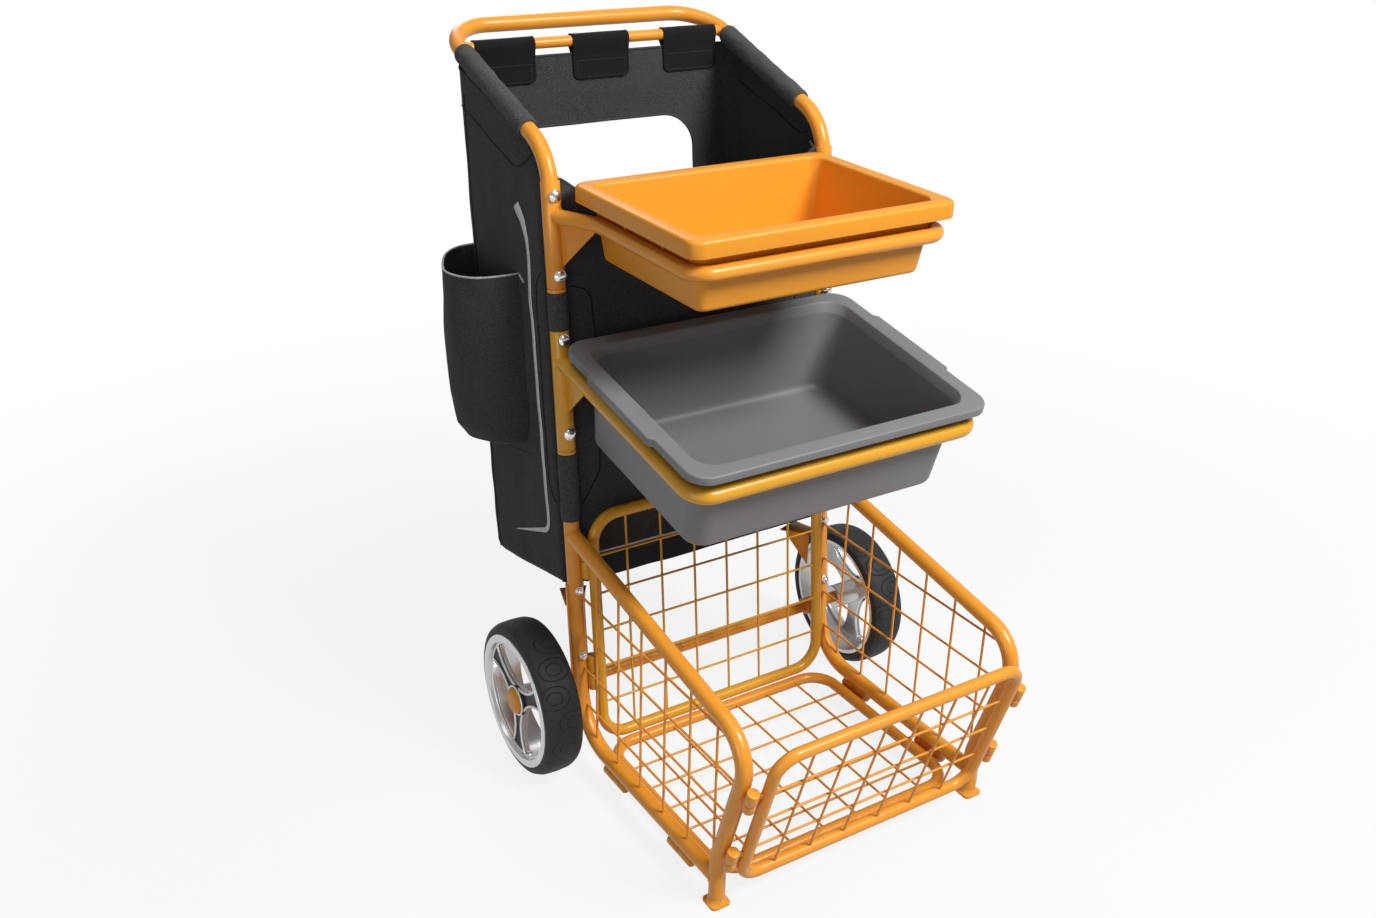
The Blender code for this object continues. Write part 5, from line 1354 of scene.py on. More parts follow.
def build_trays(sizes):
    """The shallow orange tray with its rolled rim, and the deep grey tub with hand lips."""
    wall, under = TRAY_WALL, -TRAY_WALL - 0.001
    rim, low, skirt, corner = TRAY_RIM, -TRAY_DEPTH, -TRAY_SKIRT, TRAY_CORNER_R
    body = rim - wall
    levels = [(body + TRAY_TAPER + 0.030, low, corner * 0.4, 0),
              (body + TRAY_TAPER + 0.002, low, corner * 0.6, 0.008),
              (body, skirt, corner, 0.003),
              (body - 0.0005, under, corner, 0.002),
              (wall, under, corner, 0.002),
              (wall, skirt, corner, 0.0008),
              (0, skirt, corner, 0.0008),
              (0, 0, corner, 0.0060),
              (rim, 0, corner, 0.0060),
              (rim + TRAY_TAPER + 0.002, low + wall, corner * 0.6, 0.009),
              (rim + TRAY_TAPER + 0.030, low + wall, corner * 0.4, 0)]
    ribs = ((TRAY_HALF - body - 0.001, TRAY_HALF - body + 0.004), (-0.070, -0.170),
            (-(UPPER_RING[2] - UPPER_RING[1]), -0.003))
    build_tray("orange_tray", tray_frame(TRAY_Z, TRAY_TILT), (TRAY_HALF, TRAY_BACK, TRAY_FRONT), levels,
               ribs, "orange_plastic", "top_tray")

    rim, low, skirt, corner = TUB_RIM, -TUB_DEPTH, -TUB_SKIRT, TUB_CORNER_R
    body = TUB_HALF - LOWER_RING[0] + LOWER_RING[1] + 0.0009
    foot = body + TUB_TAPER
    levels = [(foot + 0.050, low, corner * 0.5, 0),
              (foot + 0.001, low, corner * 0.85, 0.012),
              (body, -TUB_SHOULDER, corner, 0.004),
              (body - 0.005, under, corner, 0.002),
              (wall, under, corner, 0.0015),
              (wall, skirt, corner, 0.0008),
              (0, skirt, corner, 0.0008),
              (0, 0, corner, 0.0028),
              (rim - 0.001, 0, corner, 0.0030),
              (body + wall, -TUB_SHOULDER, corner, 0.006),
              (foot + wall + 0.001, low + wall, corner * 0.85, 0.014),
              (foot + wall + 0.050, low + wall, corner * 0.5, 0)]
    ribs = ((TUB_HALF - body + 0.001, TUB_HALF - body + 0.006), (-0.080, -0.230),
            (-(LOWER_RING[2] - LOWER_RING[1]), -0.008))
    build_tray("grey_tub", tray_frame(TUB_Z, TUB_TILT), (TUB_HALF, TUB_BACK, TUB_FRONT), levels,
               ribs, "grey_plastic", "lower_tub", lip=True)


def wheel_turned(profile, side, steps=96, blocks=0.0, across=None):
    """A wheel part turned round the axle; a closed seam keeps its cloth coordinates."""
    rows = []
    for (radius, x), high in zip(profile, across or [0.0] * len(profile)):
        ring = [Vector((side * x, y, z)) for y, z in circle_points(radius, steps)]
        rows.append([(point, (blocks * step / steps, high)) for step, point in enumerate(ring + ring[:1])])
    return Shape().loft(rows, Matrix.Translation(WHEEL_CENTRE)).mesh()


def window_outline(middle, grow):
    """One wheel window: the rim's circle outside and an arc that bulges to the hub inside."""
    outer, bulge = WINDOW_R + grow, WINDOW_ARC_R + grow
    heart = WINDOW_NEAR_R - grow + bulge
    reach = math.acos((outer ** 2 + heart ** 2 - bulge ** 2) / (2 * outer * heart))
    wrap = math.acos((bulge ** 2 + heart ** 2 - outer ** 2) / (2 * bulge * heart))
    heart_x, heart_y = heart * math.cos(middle), heart * math.sin(middle)
    # Both arcs stop a little short of where they meet, which blunts the corners.
    shares = [0.976 * -math.cos(math.pi * step / 35) for step in range(36)]
    arcs = ((0, 0, outer, middle, reach), (heart_x, heart_y, bulge, middle + math.pi, wrap))
    return [(x + radius * math.cos(start + turn * share), y + radius * math.sin(start + turn * share))
            for x, y, radius, start, turn in arcs for share in shares]


def window_outlines(grow=0.0):
    """All three windows of a wheel."""
    middles = [math.radians(SPOKE_ANGLE) + FULL_TURN / 3 * (index + 0.5) for index in range(3)]
    return [window_outline(middle, grow) for middle in middles]


def filled_plate(loops, half_thick, edge):
    """A flat plate with holes from closed outlines, with rounded edges."""
    curve = bpy.data.curves.new("plate", "CURVE")
    curve.dimensions = "2D"
    curve.fill_mode = "BOTH"
    curve.extrude = half_thick - edge
    curve.bevel_depth = edge
    curve.bevel_resolution = 2
    for loop in loops:
        spline = curve.splines.new("POLY")
        spline.points.add(len(loop) - 1)
        for point, place in zip(spline.points, loop):
            point.co = (*place, 0.0, 1.0)
        spline.use_cyclic_u = True
    return plain(linked("helper", curve))


def wheel_plate(side, low_x, high_x, edge):
    """The plate of spokes between two places on the axle."""
    turn = Matrix(((0, 0, 1, 0), (1, 0, 0, 0), (0, 1, 0, 0), (0, 0, 0, 1)))
    loops = [circle_points(SPOKE_PLATE_R, 120)] + window_outlines()
    plate = filled_plate(loops, (high_x - low_x) / 2, edge)
    plate.transform(Matrix.Translation(WHEEL_CENTRE + ACROSS * (side * (low_x + high_x) / 2)) @ turn)
    return plate


def build_wheels(sizes):
    """Tyres with tread, silver rims with lipped windows, dark spokes and orange caps."""
    for place in frame["nodes"]["axle_rod"].material_slots:
        place.material = finish("bright_steel")
    near, far = WHEEL_INNER_X, WHEEL_OUTER_X
    inner_web, outer_web = WEB_X
    bore, seat = HUB_BORE_R, outer_web + 0.0040
    half = [(RIM_R - 0.001, 0.003, 0), (SHOULDER_R - 0.006, 0, 0.003),
            (SHOULDER_R + 0.0035, 0.003, 0.006), (TYRE_R - 0.0012, 0.013, 0.012)]
    tyre = [(radius, near + inset, soft) for radius, inset, soft in half]
    tyre.append((TYRE_R, (near + far) / 2, 0.09))
    tyre += [(radius, far - inset, soft) for radius, inset, soft in reversed(half)]
    tyre = flat_bend(tyre, 9)
    reach = lengths_along(tyre)
    across = [(value - reach[-1] / 2) / TREAD_SHOULDER for value in reach]
    ring = flat_bend([(RIM_R + 0.0002, near + 0.003, 0), (RIM_R + 0.0012, far - 0.002, 0),
                      (RIM_R + 0.0012, RIM_FACE_X, 0.0012), (0.0992, RIM_FACE_X, 0.0015),
                      (0.0972, outer_web + 0.0018, 0.0008), (0.0950, outer_web + 0.0018, 0.0008),
                      (0.0950, inner_web - 0.001, 0), (0.1010, inner_web - 0.002, 0.001),
                      (0.1030, near + 0.003, 0), (RIM_R + 0.0002, near + 0.003, 0)], 15)
    inner_hub = [(bore, 0.2925), (0.0200, 0.2925), (0.0212, 0.2940), (0.0212, inner_web + 0.001),
                 (bore, inner_web + 0.001)]
    outer_hub = [(bore, outer_web - 0.0005), (HUB_R, outer_web - 0.0005), (HUB_R, outer_web + 0.0035),
                 (HUB_R - 0.0015, outer_web + 0.0048), (bore, outer_web + 0.0048)]
    cap = flat_bend([(0.0001, CAP_FACE_X, 0), (CAP_R - 0.0040, CAP_FACE_X - 0.0004, 0.010),
                     (CAP_R - 0.0008, CAP_FACE_X - 0.0040, 0.003), (CAP_R - 0.0006, seat, 0),
                     (0.0001, seat, 0)], 9)
    for name, side in SIDES:
        body = "wheel_" + name
        mesh = wheel_turned(tyre, side, 144, sizes.tread_blocks, across)
        settle(name + "_tyre_rubber", mesh, "tyre", name + "_tyre", body=body)

        lips = []
        for outline in window_outlines(0.0008):
            line = [Vector((side * (outer_web + 0.0016), y, z)) + WHEEL_CENTRE for y, z in outline]
            lips.append((line, True))
        out = ACROSS * (side * (outer_web + 0.0052))
        collar = [WHEEL_CENTRE + Vector((0, y, z)) + out for y, z in circle_points(0.0240, 48)]
        mesh = merged(wheel_turned(ring, side), tubes(lips, 0.0024, 12, "silver_plastic"),
                      tubes([(collar, True)], 0.0018, 10, "silver_plastic"))
        settle(name + "_wheel_ring", mesh, "silver_plastic", name + "_wheel_rim", body=body)

        face_x = outer_web - SPOKE_FACE
        plate = wheel_plate(side, inner_web, face_x - 0.0001, 0.0008)
        mesh = merged(plate, wheel_turned(inner_hub, side, 48))
        settle(name + "_wheel_spokes", mesh, "silver_plastic", body=body)
        plate = wheel_plate(side, face_x, outer_web, 0.0003)
        mesh = merged(plate, wheel_turned(outer_hub, side, 48))
        settle(name + "_spoke_faces", mesh, "dark_plastic", body=body, slot="silver_plastic")
        mesh = wheel_turned(cap, side, 56)
        settle(name + "_cap", mesh, "orange_plastic", name + "_hub_cap", body=body)


def bag_low(back):
    """The bag's bottom slopes down from the uprights to its back."""
    return BAG_LOW_FRONT_Z + (BAG_LOW_BACK_Z - BAG_LOW_FRONT_Z) * back / BAG_DEPTH


def between(stations, value):
    """Straight lines through (place, height) stations."""
    for (a, low), (b, high) in zip(stations, stations[1:]):
        if value <= b:
            return low + (high - low) * clamp((value - a) / (b - a))
    return stations[-1][1]


def bag_top(x, back):
    """The height of the bag's top edge above a place of its plan."""
    if back < SLEEVE_ROOM * 0.6:
        half = SIDE_X - SLEEVE_ROOM - 0.004
        radius = (half ** 2 + BAG_SCOOP ** 2) / (2 * BAG_SCOOP)
        if abs(x) >= half:
            return BAG_FRONT_TOP_Z
        return BAG_FRONT_TOP_Z - BAG_SCOOP + radius - math.sqrt(radius ** 2 - x ** 2)
    front, rear = 0.140, 0.345
    stations = [(0.094, BAG_FRONT_TOP_Z + 0.004), (0.098, 0.972), (0.1032, 0.981), (0.118, 0.995),
                (front, slant_z(front) - 0.0088), (rear - 0.09, slant_z(rear - 0.09) - 0.0088),
                (rear, slant_z(rear) - 0.0163), (slant_y(BAG_BACK_TOP_Z + 0.0163), BAG_BACK_TOP_Z)]
    # The edge leans with the wall, so its height is found in a few rounds.
    z = 1.0
    for _ in range(9):
        z = between(stations, lean_y(z) + back)
    return z


def bag_tuck(x, back, z):
    """How far the side's cloth is drawn in to the hoop's bend."""
    near = SIDE_X - SLEEVE_ROOM
    share = clamp((abs(x) - near) / (BAG_HALF - near))
    top = bag_top(BAG_HALF, max(back, SLEEVE_ROOM))
    return BAG_TUCK * share * ease((z - top + 0.050) / 0.045) * (1 - ease((back - 0.030) / 0.060))


def bag_slack(x, back, z, sizes):
    """How far the cloth stands out of its straight walls at a place of the bag."""
    up = clamp((z - bag_low(back)) / (1.01 - bag_low(back)))
    hang = math.sin(math.pi * clamp(0.04 + up * 0.96)) ** 0.6
    if abs(x) > BAG_HALF - BAG_CORNER_R and back > SLEEVE_ROOM:
        along = clamp((back - SLEEVE_ROOM) / (BAG_DEPTH - SLEEVE_ROOM))
        belly = sizes.bag_belly * math.sin(math.pi * along) * 0.8
        loose = ease(back / 0.07)
    elif back > BAG_DEPTH * 0.5:
        belly = sizes.bag_belly * 1.5 * math.cos(math.pi * x / (2 * BAG_HALF))
        loose = 1.0
    else:
        belly = sizes.bag_belly * 0.5 * math.cos(math.pi * x / (2 * SIDE_X))
        loose = ease((SIDE_X - 0.02 - abs(x)) / 0.07)
    side = math.copysign(1.0, x) if abs(x) > 0.2 else 0.0
    broad = noise.noise(Vector((x * 9, back * 9 + side * 3.1, z * 6)))
    folds = noise.noise(Vector((x * 26 + 7.3, back * 26, z * 9 + side)))
    lean = noise.noise(Vector((x * 16 + z * 14, back * 16 - z * 10, 4.2)))
    ripple = sizes.bag_ripple * (broad * 0.9 + folds * 0.42 + lean * 0.35) * loose
    return hang * (belly + ripple) + (1 - hang) * ripple * 0.2


def bag_skin(x, back, out, z, sizes, less):
    """A point of the bag's skin over a place of its plan, drawn in by a length."""
    stand = bag_slack(x, back, z, sizes) - less
    drawn_x = x - math.copysign(bag_tuck(x, back, z), x)
    return lean_point(drawn_x + out.x * stand, back + out.y * stand, z)


def side_wall(side, back, z, sizes, lift=0.0):
    """A point on the outside of the bag's side, raised off the cloth by a lift."""
    out = BAG_HALF + bag_slack(side * BAG_HALF, back, z, sizes) - bag_tuck(BAG_HALF, back, z)
    return lean_point(side * (out + lift), back, z)


def back_wall(x, z, sizes, lift=0.0):
    """A point on the outside of the bag's back."""
    return lean_point(x, BAG_DEPTH + bag_slack(x, BAG_DEPTH, z, sizes) + lift, z)


def front_wall(x, z, sizes, lift=0.0):
    """A point on the front of the bag, between the uprights."""
    return lean_point(x, -0.001 - bag_slack(x, 0.0, z, sizes) - lift, z)


def side_line(side, path, sizes, shift=(0.0, 0.0), lift=0.0):
    """An open line on the bag's side from flat (back, height) points."""
    return [side_wall(side, p.x + shift[0], p.y + shift[1], sizes, lift) for p in path], False


def front_line(path, sizes, shift=0.0, lift=0.0):
    """An open line on the bag's front from flat (across, height) points."""
    return [front_wall(p.x + shift, p.y, sizes, lift) for p in path], False


def bag_plan():
    """The bag seen from above as (x, back, outward, run) places, and its whole length."""
    near, half = SIDE_X - SLEEVE_ROOM, BAG_HALF
    corners = []
    for side in (1, -1):
        run = [((side * near, -0.001, 0), 0.003), ((side * near, SLEEVE_ROOM, 0), 0.004),
               ((side * half, SLEEVE_ROOM, 0), 0.006), ((side * half, BAG_DEPTH, 0), BAG_CORNER_R)]
        corners += run if side > 0 else run[::-1]
    line = spaced(bend(corners, 10), 0.0085, closed=True)
    plan, length = [], 0.0
    for index, point in enumerate(line):
        after = line[(index + 1) % len(line)]
        run = (after - line[index - 1]).normalized()
        plan.append((point.x, point.y, Vector((run.y, -run.x, 0)), length))
        length += (after - point).length
    return plan, length


def bag_shell(sizes):
    """The sack itself: walls lofted round the plan, and a sagging bottom."""
    plan, length = bag_plan()
    rows = []
    centre = sum(back for x, back, out, run in plan) / len(plan)
    for step in range(10, 0, -1):
        share = 1 - step / 10
        sag = sizes.bottom_sag * (1 - share ** 2)
        flat = [(x * share, centre + (back - centre) * share) for x, back, out, run in plan]
        rows.append([(lean_point(x, back, bag_low(back) - sag), (x, back)) for x, back in flat])
    for level in range(BAG_ROWS + 1):
        row = []
        for x, back, out, run in plan:
            low, top = bag_low(back), bag_top(x, back)
            z = low + (top - low) * level / BAG_ROWS
            less = 0.010 * (1 - clamp((z - low) / 0.020)) ** 2
            row.append((bag_skin(x, back, out, z, sizes, less), (run, z)))
        rows.append(row)
    # The running length jumps at the seam, so the first column is repeated at the end.
    for row in rows:
        point, (run, high) = row[0]
        row.append((point.copy(), (length if run == 0.0 else run, high)))
    return walled(Shape().loft(rows).mesh(), BAG_WALL, -1.0)


def bag_window(grow=0.0):
    """The middle height of the window in the bag's back, and its outline round that height."""
    half_z = (WINDOW_Z[1] - WINDOW_Z[0]) / 2 + grow
    outline = rounded_outline(WINDOW_HALF + grow, half_z, -half_z, WINDOW_CORNER_R + grow, 12)
    return sum(WINDOW_Z) / 2, outline


def window_line(sizes, grow, lift):
    """A closed line round the window, on the bag's back."""
    middle, outline = bag_window(grow)
    line = spaced([Vector((x, z, 0)) for x, z in outline], 0.012, closed=True)
    return [back_wall(point.x, middle + point.y, sizes, lift) for point in line], True


def build_bag(sizes):
    """The bag's shell with its window, bound edges, mesh foot and seams."""
    middle, outline = bag_window()
    cutter = Shape().slab([lean_point(x, BAG_DEPTH - 0.04, middle + z) for x, z in outline], (0, 0.08, 0))
    shell = cut_out(bag_shell(sizes), cutter.mesh())
    settle("sack", shell, "charcoal_fabric", "bag", sharp=60)

    top = []
    for x, back, out, run in bag_plan()[0]:
        top.append(bag_skin(x, back, out, bag_top(x, back), sizes, BAG_WALL / 2))
    hems = [(top, True), window_line(sizes, 0.0, -BAG_WALL / 2)]
    settle("bag_hems", tubes(hems, sizes.hem, 10, "charcoal_fabric"), "charcoal_fabric")
    build_bag_trim(sizes)


def ribbon(name, line, widths, high, look):
    """A flat band on a wall, from (point, across, outward) places along its middle."""
    run = lengths_along([point for point, across, out in line])
    shares = ((-1.0, 0.0), (-0.9, high), (0.0, high), (0.9, high), (1.0, 0.0))
    rows = []
    for (point, across, out), width, length in zip(line, widths, run):
        rows.append([(point + across * (width / 2 * share) + out * lift, (width / 2 * share, length))
                     for share, lift in shares])
    settle(name, Shape().loft(rows).mesh(), look, slot="charcoal_fabric", sharp=70)


def smooth_line(points):
    """A rounded line through a few flat (a, b) stations."""
    corners = [((*point, 0), 0.028) for point in points]
    corners[0], corners[-1] = (corners[0][0], 0), (corners[-1][0], 0)
    return spaced(bend(corners, 6), 0.006)


def build_bag_trim(sizes):
    """Stripe, front band, mesh foot strip, patch seams and their stitches."""
    path = smooth_line([(0.083, 0.906), (0.067, 0.886), (0.058, 0.860), (0.055, 0.830), (0.053, 0.740),
                        (0.050, 0.600), (0.047, 0.480), (0.046, 0.430), (0.048, 0.394), (0.085, 0.379),
                        (0.125, 0.3625), (0.165, 0.346)])
    run = lengths_along(path)
    widths = []
    for length in run:
        share = length / run[-1]
        width = 0.0190 - 0.0103 * ease(share / 0.11) - 0.0072 * clamp((share - 0.82) / 0.18)
        widths.append(max(width, 0.0010))
    patch = smooth_line([(0.262, 1.018), (0.163, 0.988), (0.084, 0.962), (0.060, 0.966), (0.042, 0.986),
                         (0.036, 1.000)])
    corner = smooth_line([(0.019, 0.820), (0.036, 0.800), (0.036, 0.480), (0.019, 0.455)])
    rear = spaced([(BAG_DEPTH - 0.034, z, 0) for z in (0.275, 0.5, 0.8, 1.035)], 0.008)
    seams, threads = [], []
    for name, side in SIDES:
        line = []
        for index, point in enumerate(path):
            way = way_along(path, index)
            place = side_wall(side, point.x, point.y, sizes, 0.0006)
            line.append((place, Vector((0, -way.y, way.x)), Vector((side, 0, 0))))
        ribbon(name + "_stripe", line, widths, 0.0008, "grey_stripe")

        inner = smooth_line([(side * 0.222, 0.800), (side * 0.190, 0.790), (side * 0.183, 0.660),
                             (side * 0.190, 0.500), (side * 0.224, 0.452)])
        seams += [side_line(side, patch, sizes), side_line(side, patch, sizes, lift=-BAG_WALL),
                  side_line(side, corner, sizes), front_line(inner, sizes), side_line(side, rear, sizes)]
        threads += [side_line(side, patch, sizes, (0.0, 0.004), 0.0001),
                    side_line(side, corner, sizes, (-0.004, 0.0), 0.0001),
                    front_line(inner, sizes, side * 0.004, 0.0001),
                    side_line(side, rear, sizes, (-0.004, 0.0), 0.0001)]
    threads.append(window_line(sizes, 0.006, 0.0002))
    front_edge = spaced([(x / 100, 0, 0) for x in range(-22, 23)], 0.01)
    threads.append(([front_wall(p.x, bag_top(p.x, 0.0) - 0.007, sizes, 0.0002) for p in front_edge], False))
    # The seam cords take the black strap cloth, darker than the bag: painted shade along the seams.
    settle("bag_seams", tubes(seams, 0.0011, 6, "black_fabric"), "black_fabric")
    settle("bag_stitches", stitches(threads, sizes.stitch_step), "thread", slot="charcoal_fabric")

    half = SIDE_X - SLEEVE_ROOM - 0.006
    bands = (("front_band", 0.3625, 0.0034, 0.0004, "grey_stripe"),
             ("front_mesh_strip", 0.3385, 0.043, 0.0003, "bag_mesh"))
    for name, z, width, high, look in bands:
        line = []
        for step in range(49):
            point = front_wall(half * (step / 24 - 1), z, sizes, 0.0004)
            line.append((point, LEAN_AXIS, Vector((0, -1, 0))))
        ribbon(name, line, [width] * len(line), high, look)


def puffy(start, end, radius, seed):
    """A loose cloth sleeve on a tube, with soft folds and tucked ends."""
    along = (end - start).normalized()
    second = along.cross(ACROSS)
    length = (end - start).length
    steps = max(8, round(length / 0.004))
    rows = []
    for step in range(-1, steps + 2):
        share = clamp(step / steps)
        edge = min(share, 1 - share) * length
        row = []
        for turn in range(37):
            angle = FULL_TURN * turn / 36
            way = ACROSS * math.cos(angle) + second * math.sin(angle)
            puff = noise.noise(Vector((way.x * 1.4 + seed, way.z * 1.4, share * length * 34)))
            crease = noise.noise(Vector((way.x * 3 + seed, way.z * 3, share * length * 90)))
            size = radius + (0.0011 * puff + 0.0006 * crease) * ease(edge / 0.01)
            size -= 0.0010 * (1 - ease(edge / 0.004))
            if step in (-1, steps + 1):
                size = TUBE_R - 0.0005
            row.append((start + along * (share * length) + way * size, (angle * radius, share * length)))
        rows.append(row)
    return Shape().loft(rows).mesh()


def build_sleeves(sizes):
    """Cloth sleeves that carry the bag on the hoop's side tubes and on the uprights."""
    second = SLANT_AXIS.cross(ACROSS)
    low_y, high_y = SLANT_SLEEVE_Y
    for name, side in SIDES:
        x = side * SIDE_X
        start, end = (Vector((x, y, slant_z(y))) for y in SLANT_SLEEVE_Y)
        settle(name + "_slant_cover", puffy(start, end, 0.0165, 1.7 + side), "sleeve_fabric",
               name + "_slant_sleeve", sharp=60)
        for level, heights in (("upper", UPPER_SLEEVE_Z), ("lower", LOWER_SLEEVE_Z)):
            start, end = (lean_point(x, 0, z) for z in heights)
            mesh = puffy(start, end, 0.0152, 4.1 + side + heights[0])
            settle(f"{name}_{level}_cover", mesh, "sleeve_fabric", f"{name}_{level}_sleeve", sharp=60)
        rows = []
        for share in (0.035, 0.965):
            y = low_y + (high_y - low_y) * share
            centre = Vector((x, y, slant_z(y)))
            ring = [centre + (ACROSS * a + second * b) * 0.0166 for a, b in circle_points(1.0, 40)]
            rows.append((ring, True))
        settle(name + "_cover_stitches", stitches(rows, 0.0045), "thread", slot="sleeve_fabric")


def strap_line():
    """The middle of a strap, from the bag's inside over the bar and down its outside."""
    bar_y, reach = slant_y(BAR_Z), BAR_R + 0.0014
    inside, outside = BAG_DEPTH - BAG_WALL - 0.0016, BAG_DEPTH + 0.0016
    line = [lean_point(0, inside, z) for z in (STRAP_FRONT_LOW_Z, STRAP_FRONT_LOW_Z + 0.020, BAR_Z - 0.022)]
    line.append(Vector((0, bar_y - reach, BAR_Z - 0.002)))
    for step in range(1, 12):
        angle = math.radians(180 - 15 * step)
        line.append(Vector((0, bar_y + reach * math.cos(angle), BAR_Z + reach * math.sin(angle))))
    line.append(Vector((0, bar_y + reach * 0.93, BAR_Z - 0.005)))
    lows = (BAG_BACK_TOP_Z - 0.002, STRAP_BACK_LOW_Z + 0.008, STRAP_BACK_LOW_Z)
    return spaced(line + [lean_point(0, outside, z) for z in lows], 0.004)


def build_straps(sizes):
    """Wide straps folded over the cross bar and sewn to both faces of the bag's back."""
    line, corner = strap_line(), STRAP_CORNER_R
    run = lengths_along(line)
    for name, place in (("left", -1), ("middle", 0), ("right", 1)):
        centre_x = place * STRAP_STEP
        rows = []
        for index, point in enumerate(line):
            edge = min(run[index], run[-1] - run[index])
            trim = corner - math.sqrt(max(corner ** 2 - (corner - min(edge, corner)) ** 2, 0.0))
            half = STRAP_WIDTH / 2 - trim
            way = way_along(line, index)
            out = Vector((0, -way.z, way.y))
            row = []
            for step in range(27):
                x = half * (step / 13 - 1)
                wave = noise.noise(Vector(((centre_x + x) * 22, run[index] * 30, 1.3))) * 0.0012
                wave *= ease((edge - 0.004) / 0.03)
                rim = 0.0004 if abs(x) > half - 0.004 else 0.0
                at = point + Vector((centre_x + x, 0, 0)) + out * (wave * 0.5 + rim)
                row.append((at, (x, run[index])))
            rows.append(row)
        mesh = walled(Shape().loft(rows).mesh(), 0.0019)
        settle(name + "_strap_cover", mesh, "black_fabric", name + "_bag_strap", sharp=60)
        boxes = []
        for start, end in ((0.004, 0.030), (run[-1] - 0.022, run[-1] - 0.004)):
            box = [(-0.044, start, 0), (0.044, start, 0), (0.044, end, 0), (-0.044, end, 0)]
            path = []
            for x, along, flat in spaced(box, 0.004, closed=True):
                index = max(1, next((k for k, value in enumerate(run) if value >= along), len(run) - 1))
                share = clamp((along - run[index - 1]) / (run[index] - run[index - 1]))
                point = line[index - 1].lerp(line[index], share)
                way = (line[index] - line[index - 1]).normalized()
                out = Vector((0, -way.z, way.y))
                path.append(point + Vector((centre_x + x, 0, 0)) + out * 0.0012)
            boxes.append((path, True))
        settle(name + "_strap_stitches", stitches(boxes, 0.0040), "thread", slot="black_fabric")


def pocket_ring(share, sizes):
    """One level of the bottle pocket, from one seam round to the other."""
    levels = [(0.0, 0.18, 0.78), (0.012, 0.50, 0.86), (0.04, 0.74, 0.92), (0.12, 0.92, 0.98),
              (0.30, 1.0, 1.0), (0.75, 0.99, 1.0), (1.0, 0.93, 1.0)]
    bulge = between([(a, b) for a, b, c in levels], share)
    spread = between([(a, c) for a, b, c in levels], share)
    front, back = POCKET_SPAN
    middle, half = (front + back) / 2, (back - front) / 2
    ring = []
    for step in range(37):
        angle = math.pi * step / 36
        soft = math.sin(angle)
        place = middle - half * spread * math.cos(angle)
        low = POCKET_Z[0] + POCKET_RISE * clamp((back - place) / (back - front))
        z = low + (POCKET_Z[1] - low) * share
        out = POCKET_BULGE * bulge * max(soft, 0.0) ** 0.72
        fold = noise.noise(Vector((angle * 1.6, z * 9, 2.0))) * 0.0030
        fold += noise.noise(Vector((angle * 4.0, z * 16, 5.0))) * 0.0014
        fold *= soft * ease(share / 0.08) * (1 - 0.6 * ease((share - 0.9) / 0.1))
        dip = 0.010 * soft ** 2 * ease((share - 0.8) / 0.2)
        point = side_wall(-1, place, z - dip, sizes, 0.0004)
        point.x -= max(out, 0.0) + fold
        point.x += 0.0035 * (1 - ease(soft / 0.12))
        ring.append(point)
    return ring


def build_pocket(sizes):
    """The bottle pocket with its pale bound rim, seams and sewn flange."""
    shares = [0.0, 0.006, 0.012, 0.025, 0.04, 0.065, 0.09] + [0.12 + 0.044 * k for k in range(21)]
    rings = [pocket_ring(share, sizes) for share in shares]
    foot, rim = rings[0], rings[-1]
    rows = [[(point, (run, point.z)) for run, point in zip(lengths_along(ring), ring)] for ring in rings]
    inner = [Vector((side_wall(-1, 0.18, point.z, sizes).x, point.y, point.z + 0.004)) for point in foot]
    shape = Shape().loft(rows).skin([inner, foot], around=False, ends=False)
    settle("pocket_pouch", walled(shape.mesh(False), 0.0018), "charcoal_fabric", "bottle_pocket", sharp=60)

    front, back = POCKET_SPAN
    low, top = POCKET_Z
    tail = [side_wall(-1, front - ahead, top - drop, sizes, 0.0006)
            for ahead, drop in ((0.016, 0.009), (0.004, 0.001))]
    mesh = tubes([(tail + rim, False)], 0.0017, 8, "pale_binding")
    settle("pocket_rim", mesh, "pale_binding", slot="charcoal_fabric")
    edges = [(spaced([ring[end] for ring in rings], 0.006), False) for end in (0, -1)]
    rise = low + POCKET_RISE
    flange = smooth_line([(back - 0.010, low - 0.012), (front - 0.016, rise - 0.014),
                          (front - 0.026, rise + 0.020), (front - 0.022, top - 0.030),
                          (front - 0.004, top - 0.002)])
    mesh = tubes(edges + [side_line(-1, flange, sizes)], 0.0009, 6, "charcoal_fabric")
    settle("pocket_seams", mesh, "charcoal_fabric")
    row = smooth_line([(back - 0.010, low - 0.008), (front - 0.014, rise - 0.010),
                       (front - 0.022, rise + 0.022), (front - 0.018, top - 0.032)])
    rows = [side_line(-1, row, sizes, lift=0.0002),
            ([point + Vector((-0.0012, 0, -0.006)) for point in rim], False)]
    settle("pocket_stitches", stitches(rows, sizes.stitch_step), "thread", slot="charcoal_fabric")


